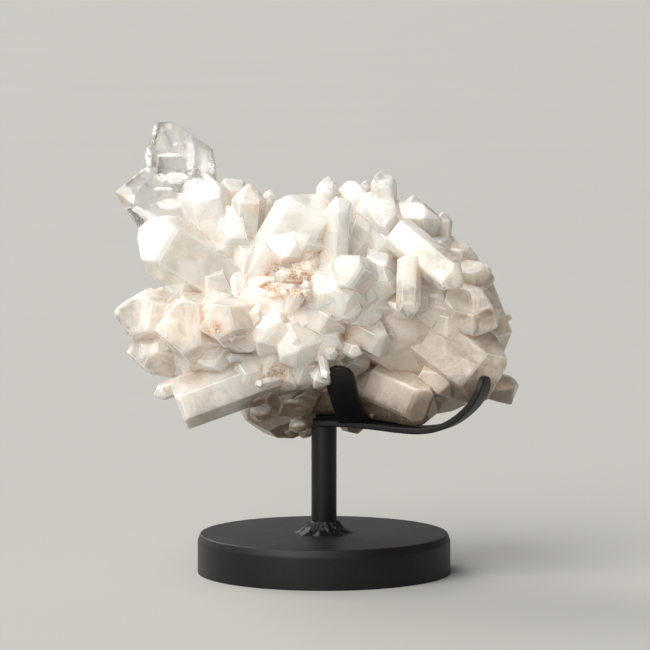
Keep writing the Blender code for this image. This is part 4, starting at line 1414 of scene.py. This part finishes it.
@dataclass
class Inclusions:
    """What is sealed in the clear crystals: veils of healed cracks and clouds of white flecks."""

    panes: dict[str, HalfSpaces]
    # pane, centre, half width along, half height up, lean to the back, bulge
    veils: tuple = (
        ("clear_upper", (-75, 5.5, 198), (10.5, 0.5, -0.8), (0.6, 1.8, 4.5), 0.8),
        ("clear_upper", (-63, 6.5, 202), (6.5, 1.0, -3.0), (1.5, 2.2, 9.5), 1.0),
        ("clear_upper", (-69, 3.0, 209), (12, 1.5, -5.0), (0.4, 0.8, 1.2), 0.5),
        ("clear_lower", (-77, 4.0, 193.5), (12.5, 1.5, 1.0), (0.3, 2.0, 4.6), 0.9),
        ("clear_lower", (-70, 2.5, 184), (6, 1.0, 0.4), (0.5, 1.5, 4.5), 0.7),
    )
    # pane, centre, spread, how many, size
    clouds: tuple = (
        ("clear_lower", (-76, 2.5, 185.5), (4.6, 1.4, 2.2), 520, 0.8),
        ("clear_lower", (-71, 2.5, 188), (3.0, 1.4, 2.2), 240, 0.7),
        ("clear_upper", (-60, 5.5, 196), (4.5, 2.0, 5.0), 260, 0.45),
        ("clear_upper", (-84.5, 5.5, 209), (0.8, 2.0, 4.5), 160, 0.4),
        ("clear_lower", (-97, 2.0, 186), (1.6, 1.2, 3.0), 70, 0.4),
    )

    def build(self, rng: np.random.Generator) -> list[bpy.types.Object]:
        """Makes and dresses the veils and the flecks."""
        return [self._veils(), self._flecks(rng)]

    def _veils(self) -> bpy.types.Object:
        """Sheets: centre + u * across + v * up, pushed along their normal by bulge * (noise + (1 - u * u)).

        Their fade is (1 - u^4) * (1 - v^4).
        """
        u, v = np.meshgrid(np.linspace(-1, 1, 44), np.linspace(-1, 1, 30))
        places, quads, fades = [], [], []
        number = np.arange(u.size).reshape(u.shape)
        square = np.stack((number[:-1, :-1], number[:-1, 1:], number[1:, 1:], number[1:, :-1]), axis=-1)
        for k, (name, centre, across, up, bulge) in enumerate(self.veils):
            middle, across, up = np.array(centre, float), np.array(across, float), np.array(up, float)
            sheet = middle + u[..., None] * across + v[..., None] * up
            wave = lattice_noise(sheet.reshape(-1, 3) / 3.0, 40 + k).reshape(u.shape) + 1 - u * u
            sheet = sheet + unit(np.cross(across, up)) * (bulge * wave)[..., None]
            places.append(self.panes[name].held(middle, sheet.reshape(-1, 3), 0.6))
            quads.append(square.reshape(-1, 4) + k * u.size)
            fades.append(((1 - u ** 4) * (1 - v ** 4)).ravel())
        mesh = bpy.data.meshes.new("healed_veils")
        mesh.from_pydata(np.vstack(places) * MM, [], np.vstack(quads))
        fade = np.repeat(np.concatenate(fades)[:, None], 4, axis=1).astype(np.float32)
        mesh.attributes.new("fade", "FLOAT_COLOR", "POINT").data.foreach_set("color", fade.ravel())
        mesh.shade_smooth()
        return put("healed_veils", mesh, VeilFilm().material())

    def _flecks(self, rng: np.random.Generator) -> bpy.types.Object:
        """Flat four-cornered grains around each cloud's centre, normally spread, each turned at random.

        Args:
            rng: draws places, sizes and turns.

        Returns:
            All grains in one object.
        """
        shape = np.array(((1, 1, 1), (1, -1, -1), (-1, 1, -1), (-1, -1, 1)), float)
        faces = np.array(((0, 1, 2), (0, 3, 1), (0, 2, 3), (1, 3, 2)))
        points, triangles, used = [], [], 0
        for name, centre, spread, count, size in self.clouds:
            middle = np.array(centre, float)
            seats = self.panes[name].held(middle, middle + rng.normal(0, 1, (count, 3)) * spread, 1.2)
            turn = np.linalg.qr(rng.normal(0, 1, (count, 3, 3)))[0]
            sizes = size * rng.uniform(0.15, 0.62, (count, 1, 1)) * np.array((1.0, 0.35, 1.4))
            grains = seats[:, None] + (shape * sizes) @ turn
            points.append(grains.reshape(-1, 3))
            triangles.append((faces + 4 * np.arange(count)[:, None, None]).reshape(-1, 3) + used)
            used += 4 * count
        mesh = bpy.data.meshes.new("white_flecks")
        mesh.from_pydata(np.vstack(points) * MM, [], np.vstack(triangles))
        bm = bmesh.new()
        bm.from_mesh(mesh)
        bmesh.ops.recalc_face_normals(bm, faces=bm.faces)
        bm.to_mesh(mesh)
        bm.free()
        return put("white_flecks", mesh, Snow().material())


@dataclass
class Stand:
    """Base disc, post, weld bead and three bent flat bars, all in one black coat."""

    base_radius: float = 63.5
    base_thickness: float = 19.8
    chamfer_in: float = 1.4
    chamfer_down: float = 3.6
    post_radius: float = 6.35
    post_top: float = 73.9
    weld_radius: float = 14.0
    weld_top_radius: float = 7.2
    weld_height: float = 6.3
    bar_width: float = 15.0
    bar_thickness: float = 3.2
    bar_edge: float = 0.75
    right_path: tuple = (
        (-5.5, 1.0, 75.6), (6, -2, 75.8), (16, -6, 75.8), (28, -11.5, 75.2), (40, -17.5, 74.4),
        (50, -22, 74.4), (59, -25.5, 76.4), (67, -28.5, 81), (74, -31.5, 88), (78, -33, 95),
        (79.2, -33.6, 102.5),
    )
    front_path: tuple = (
        (14.6, -13.9, 78.2), (12.6, -20, 83.6), (10.2, -27.5, 91.5), (8.2, -34, 99.6), (6.9, -38.4, 107.6),
    )
    rear_path: tuple = (
        (3.4, 8.4, 76.2), (3, 20, 76.4), (2, 33, 78.6), (1, 43, 85), (0, 49, 94), (-1, 51.5, 104.5),
    )

    def bars(self) -> dict[str, tuple[tuple, tuple[float, float], bool]]:
        """Each bar's centre line, the level direction it heads in, and whether its start is round."""
        return {
            "right_arm": (self.right_path, (0.93, -0.37), True),
            "front_arm": (self.front_path, (-0.2, -0.98), False),
            "rear_arm": (self.rear_path, (-0.05, 1.0), False),
        }

    def build(self) -> list[tuple[bpy.types.Object, str]]:
        """Makes and dresses the pieces, each with the node it stands for."""
        coat = PowderCoat().material()
        pieces = [
            (put("base_plate", self.base(), coat), "base_disc"),
            (put("post_rod", self.post(), coat), "post"),
            (put("foot_bead", self.weld(), coat), "foot_weld"),
        ]
        for name, (path, heading, round_start) in self.bars().items():
            pieces.append((put(f"{name}_bar", self.bar(path, heading, round_start), coat), name))
        return pieces

    def spaces(self, clearance: float) -> list[bpy.types.Object]:
        """Bars and post swollen by the clearance, which are cut out of the cluster."""
        room = [put(f"{name}_room", self.bar(path, heading, round_start, clearance, 3))
                for name, (path, heading, round_start) in self.bars().items()]
        radius = self.post_radius + clearance
        outline = np.array(((0, 5), (radius, 5), (radius, self.post_top), (0, self.post_top)), float)
        return room + [put("post_room", turned("post_room", outline, 32))]

    def base(self) -> bpy.types.Mesh:
        """The base plate: its half section, with rounded corners, turned about the post's axis."""
        r, t = self.base_radius, self.base_thickness
        outline = rounded_line(((0, t), (r - self.chamfer_in, t), (r, t - self.chamfer_down), (r, 0), (0, 0)),
                               (0.8, 0.9, 0.5))
        return turned("base_plate", outline, 256)

    def post(self) -> bpy.types.Mesh:
        """The post: a plain rod."""
        r, low, top = self.post_radius, self.base_thickness, self.post_top + 0.2
        return turned("post_rod", rounded_line(((0, top), (r, top), (r, low), (0, low)), (0.4, 0.01)), 96)

    def weld(self) -> bpy.types.Mesh:
        """The weld bead: radius falls in a hollow curve from foot to top and swells in lumps around.

        radius(angle, up) = skirt(up) * (1 + lumps(angle) * (1 - 0.6 up) + hammered noise).
        """
        around = np.linspace(0, 2 * math.pi, 180, endpoint=False)
        up = np.linspace(0, 1, 22)
        angle, rise = np.meshgrid(around, up)
        lumps = 0.05 * np.sin(5 * angle + 0.7) + 0.06 * np.sin(8 * angle + 2.1) + 0.03 * np.sin(13 * angle)
        skirt = self.weld_radius + (self.weld_top_radius - self.weld_radius) * rise
        radius = skirt * (1 + lumps * (1 - 0.6 * rise) - 0.16 * np.sin(np.pi * rise))
        x, y = radius * np.cos(angle), radius * np.sin(angle)
        z = self.base_thickness + rise * self.weld_height
        places = np.stack((x, y, z), axis=-1).reshape(-1, 3)
        dents = layered_noise(places / 2.1, 3, 3).reshape(angle.shape) * np.sin(np.pi * rise) ** 0.5 * 0.45
        outward = np.stack((np.cos(angle), np.sin(angle), 0.6 + 0 * angle), axis=-1)
        places = np.stack((x, y, z), axis=-1) + outward * dents[..., None]
        return grid_mesh("foot_bead", places, cap_ends=True)

    def bar(self, path: tuple, heading: tuple[float, float], round_start: bool, grow: float = 0.0,
            fineness: int = 9) -> bpy.types.Mesh:
        """A flat bar with a round end: a rounded rectangle carried along the path.

        The half width near a round end is half * sqrt(1 - (1 - distance / half)^2).

        Args:
            path: points on the bar's centre line.
            heading: the level direction of the bar, which its width stands square to.
            round_start: True if the first end is round too.
            grow: how far the surface is pushed out.
            fineness: steps between two points of the path.

        Returns:
            The closed mesh.
        """
        half, thick = self.bar_width / 2 + grow, self.bar_thickness / 2 + grow
        line = smooth_line(np.array(path, float), fineness)
        run = np.append(0, np.cumsum(np.linalg.norm(np.diff(line, axis=0), axis=1)))
        total = run[-1]
        ends = half * (1 - np.cos(np.linspace(0.12, math.pi / 2, 14)))
        stations = np.concatenate((run[run < total - half], total - ends))
        if round_start:
            stations = np.concatenate((stations[stations > half], ends))
        stations = np.unique(np.round(stations, 3))
        ahead = np.gradient(line, axis=0)
        place = np.stack([np.interp(stations, run, line[:, k]) for k in range(3)], axis=1)
        ahead = unit(np.stack([np.interp(stations, run, ahead[:, k]) for k in range(3)], axis=1))
        across = np.broadcast_to(unit(np.array((-heading[1], heading[0], 0.0))), ahead.shape)
        across = unit(across - ahead * (across * ahead).sum(axis=1, keepdims=True))
        up = np.cross(ahead, across)
        left = total - stations
        if round_start:
            left = np.minimum(left, stations)
        near = np.clip(left / half, 0, 1)
        reach = half * np.sqrt(1 - (1 - near) ** 2)
        slim = np.clip(left / 0.9, 0, 1)
        depth = thick * (0.62 + 0.38 * np.sqrt(1 - (1 - slim) ** 2))
        corner = self.bar_edge + grow
        turns = np.linspace(0, math.pi / 2, 5)
        quarter = np.concatenate([turns + k * math.pi / 2 for k in range(4)])
        sign_u = np.repeat((1, -1, -1, 1), 5)
        sign_v = np.repeat((1, 1, -1, -1), 5)
        bend = np.minimum(corner, np.minimum(reach, depth) * 0.98)[:, None]
        u = sign_u * (reach[:, None] - bend) + bend * np.cos(quarter)
        v = sign_v * (depth[:, None] - bend) + bend * np.sin(quarter)
        rings = place[:, None] + across[:, None] * u[..., None] + up[:, None] * v[..., None]
        return grid_mesh("bar", rings, cap_ends=True)


def rounded_line(points: Sequence[tuple[float, float]], radii: Sequence[float]) -> Array:
    """A line of corners with each inner corner cut by a small arc.

    Args:
        points: the line's corners.
        radii: how far from each inner corner its arc starts.

    Returns:
        The points of the rounded line.
    """
    corner = np.array(points, float)
    line = [corner[0]]
    share = np.linspace(0, 1, 6)[:, None]
    for k, radius in enumerate(radii, start=1):
        start = corner[k] + unit(corner[k - 1] - corner[k]) * radius
        end = corner[k] + unit(corner[k + 1] - corner[k]) * radius
        line.extend(start * (1 - share) ** 2 + 2 * corner[k] * share * (1 - share) + end * share ** 2)
    inner = corner[len(radii) + 1:]
    return np.vstack((line, inner))


def smooth_line(knots: Array, steps: int) -> Array:
    """A Catmull-Rom curve through the knots, with this many steps a span."""
    before = np.vstack((knots[:1], knots[:-1]))[:-1]
    start, end = knots[:-1], knots[1:]
    after = np.vstack((knots[2:], knots[-1:]))
    t = (np.arange(steps) / steps)[None, :, None]
    bend = ((end - before)[:, None] * t * (1 - t) ** 2 - (after - start)[:, None] * t * t * (1 - t)) / 2
    dense = start[:, None] + (end - start)[:, None] * (3 * t * t - 2 * t ** 3) + bend
    return np.vstack((dense.reshape(-1, 3), knots[-1:]))


def turned(name: str, outline: Array, steps: int) -> bpy.types.Mesh:
    """The outline, given as radius and height, turned about Z: (r cos a, r sin a, z)."""
    angle = np.linspace(0, 2 * math.pi, steps, endpoint=False)
    inner = outline[1:-1]
    rings = np.stack((inner[:, :1] * np.cos(angle), inner[:, :1] * np.sin(angle),
                      np.repeat(inner[:, 1:], steps, axis=1)), axis=-1)
    return grid_mesh(name, rings, cap_ends=True)


def grid_mesh(name: str, rings: Array, cap_ends: bool) -> bpy.types.Mesh:
    """A closed tube from rings of points: quads between neighbours, one face at each end.

    Args:
        name: the mesh's name.
        rings: places in millimetres, ring by ring, each ring closed on itself.
        cap_ends: True to close the first and last rings.

    Returns:
        The mesh, facing outwards, smooth but for its sharp edges.
    """
    rows, columns = rings.shape[:2]
    number = np.arange(rows * columns).reshape(rows, columns)
    turned_on = np.roll(number, -1, axis=1)
    quads = np.stack((number[:-1], turned_on[:-1], turned_on[1:], number[1:]), axis=-1).reshape(-1, 4)
    faces = quads.tolist()
    if cap_ends:
        faces += [number[0][::-1].tolist(), number[-1].tolist()]
    mesh = bpy.data.meshes.new(name)
    mesh.from_pydata(rings.reshape(-1, 3) * MM, [], faces)
    bm = bmesh.new()
    bm.from_mesh(mesh)
    bmesh.ops.remove_doubles(bm, verts=bm.verts, dist=1e-7)
    bmesh.ops.recalc_face_normals(bm, faces=bm.faces)
    bm.to_mesh(mesh)
    bm.free()
    mesh.shade_smooth()
    mesh.set_sharp_from_angle(angle=math.radians(38))
    return mesh


@dataclass
class Studio:
    """Floor, soft lights and the camera at the photograph's viewing angle."""

    camera_distance: float = 2.2
    camera_rise: float = math.radians(8.6)
    target: tuple[float, float, float] = (0.0005, 0.0, 0.1245)
    field_width: float = 0.325
    sensor: float = 36.0
    sky: tuple[float, float] = (0.58, 0.19)
    warmth: tuple[float, float, float, float] = rgb(1.0, 0.965, 0.92)
    # direction, radius in degrees, strength
    panels: tuple = (
        ((-0.85, -1.0, 1.4), 25.0, 4.7),
        ((-0.45, -1.0, 0.22), 20.0, 1.7),
        ((-0.9, 1.1, 1.1), 15.0, 5.8),
        ((-0.3, 0.0, 1.0), 22.0, 2.3),
    )

    def build(self) -> None:
        """Makes all of it."""
        self._floor()
        self._sky()
        self._camera()

    def _floor(self) -> None:
        """A wide round floor."""
        outline = np.array(((0, 0), (40000, 0), (40000, -20), (0, -20)), float)
        floor = put("floor", turned("floor", outline, 128), PaleFloor().material())

    def _sky(self) -> None:
        """Pale light from all sides, fading to the right, with soft round panels of brighter light in it.

        A panel's light is a smooth step of the dot product of the direction and the panel's own direction.
        """
        world = bpy.data.worlds.new("studio")
        bpy.context.scene.world = world
        world.use_nodes = True
        world.node_tree.nodes.clear()
        g = Graph.over(world.node_tree)
        way = g.node("ShaderNodeTexCoord", output="Generated")
        side = g.node("ShaderNodeSeparateXYZ", {}, {0: way})
        side_up = g.node("ShaderNodeSeparateXYZ", {}, {0: way}, 2)
        light = side.spread(-0.6, 0.6, *self.sky)
        light = light * side_up.spread(0.55, 0.8, 1.0, 0.25)
        for towards, radius, power in self.panels:
            axis = tuple(Vector(towards).normalized())
            facing = g.node("ShaderNodeVectorMath", {"operation": "DOT_PRODUCT"}, {0: way, 1: axis}, 1)
            light = light + facing.spread(math.cos(math.radians(radius * 1.15)),
                                          math.cos(math.radians(radius * 0.85))) * power
        glow = g.node("ShaderNodeBackground", {}, {"Color": self.warmth, "Strength": light})
        out = world.node_tree.nodes.new("ShaderNodeOutputWorld")
        world.node_tree.links.new(glow.socket, out.inputs["Surface"])

    def _camera(self) -> None:
        """A long lens in front of the stand and a little above it."""
        place = Vector((self.target[0], -self.camera_distance * math.cos(self.camera_rise),
                        self.camera_distance * math.sin(self.camera_rise)))
        aim = Vector(self.target) - place
        lens = bpy.data.cameras.new("camera")
        lens.sensor_width = self.sensor
        lens.lens = self.sensor * aim.length / self.field_width
        lens.clip_end = 100.0
        camera = bpy.data.objects.new("camera", lens)
        camera.location = place
        camera.rotation_euler = aim.to_track_quat("-Z", "Y").to_euler()
        bpy.context.scene.collection.objects.link(camera)
        bpy.context.scene.camera = camera


def main() -> None:
    """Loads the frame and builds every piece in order."""
    logging.basicConfig(level=logging.INFO, format="%(name)s: %(message)s")
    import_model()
    Studio().build()
    stand = Stand()
    for piece, node in stand.build():
        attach(piece, "root")
        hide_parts(node)
        LOG.info("%s stands for %s, %d faces", piece.name, node, len(piece.data.polygons))
    for piece in Cluster().build([stand.spaces(SKIN_CLEARANCE), stand.spaces(CORE_CLEARANCE)]):
        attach(piece, "root")
        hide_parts("quartz_cluster")
        LOG.info("%s, %d faces", piece.name, len(piece.data.polygons))
    scene = bpy.context.scene
    scene.view_settings.view_transform = "Standard"


if __name__ == "__main__":
    main()
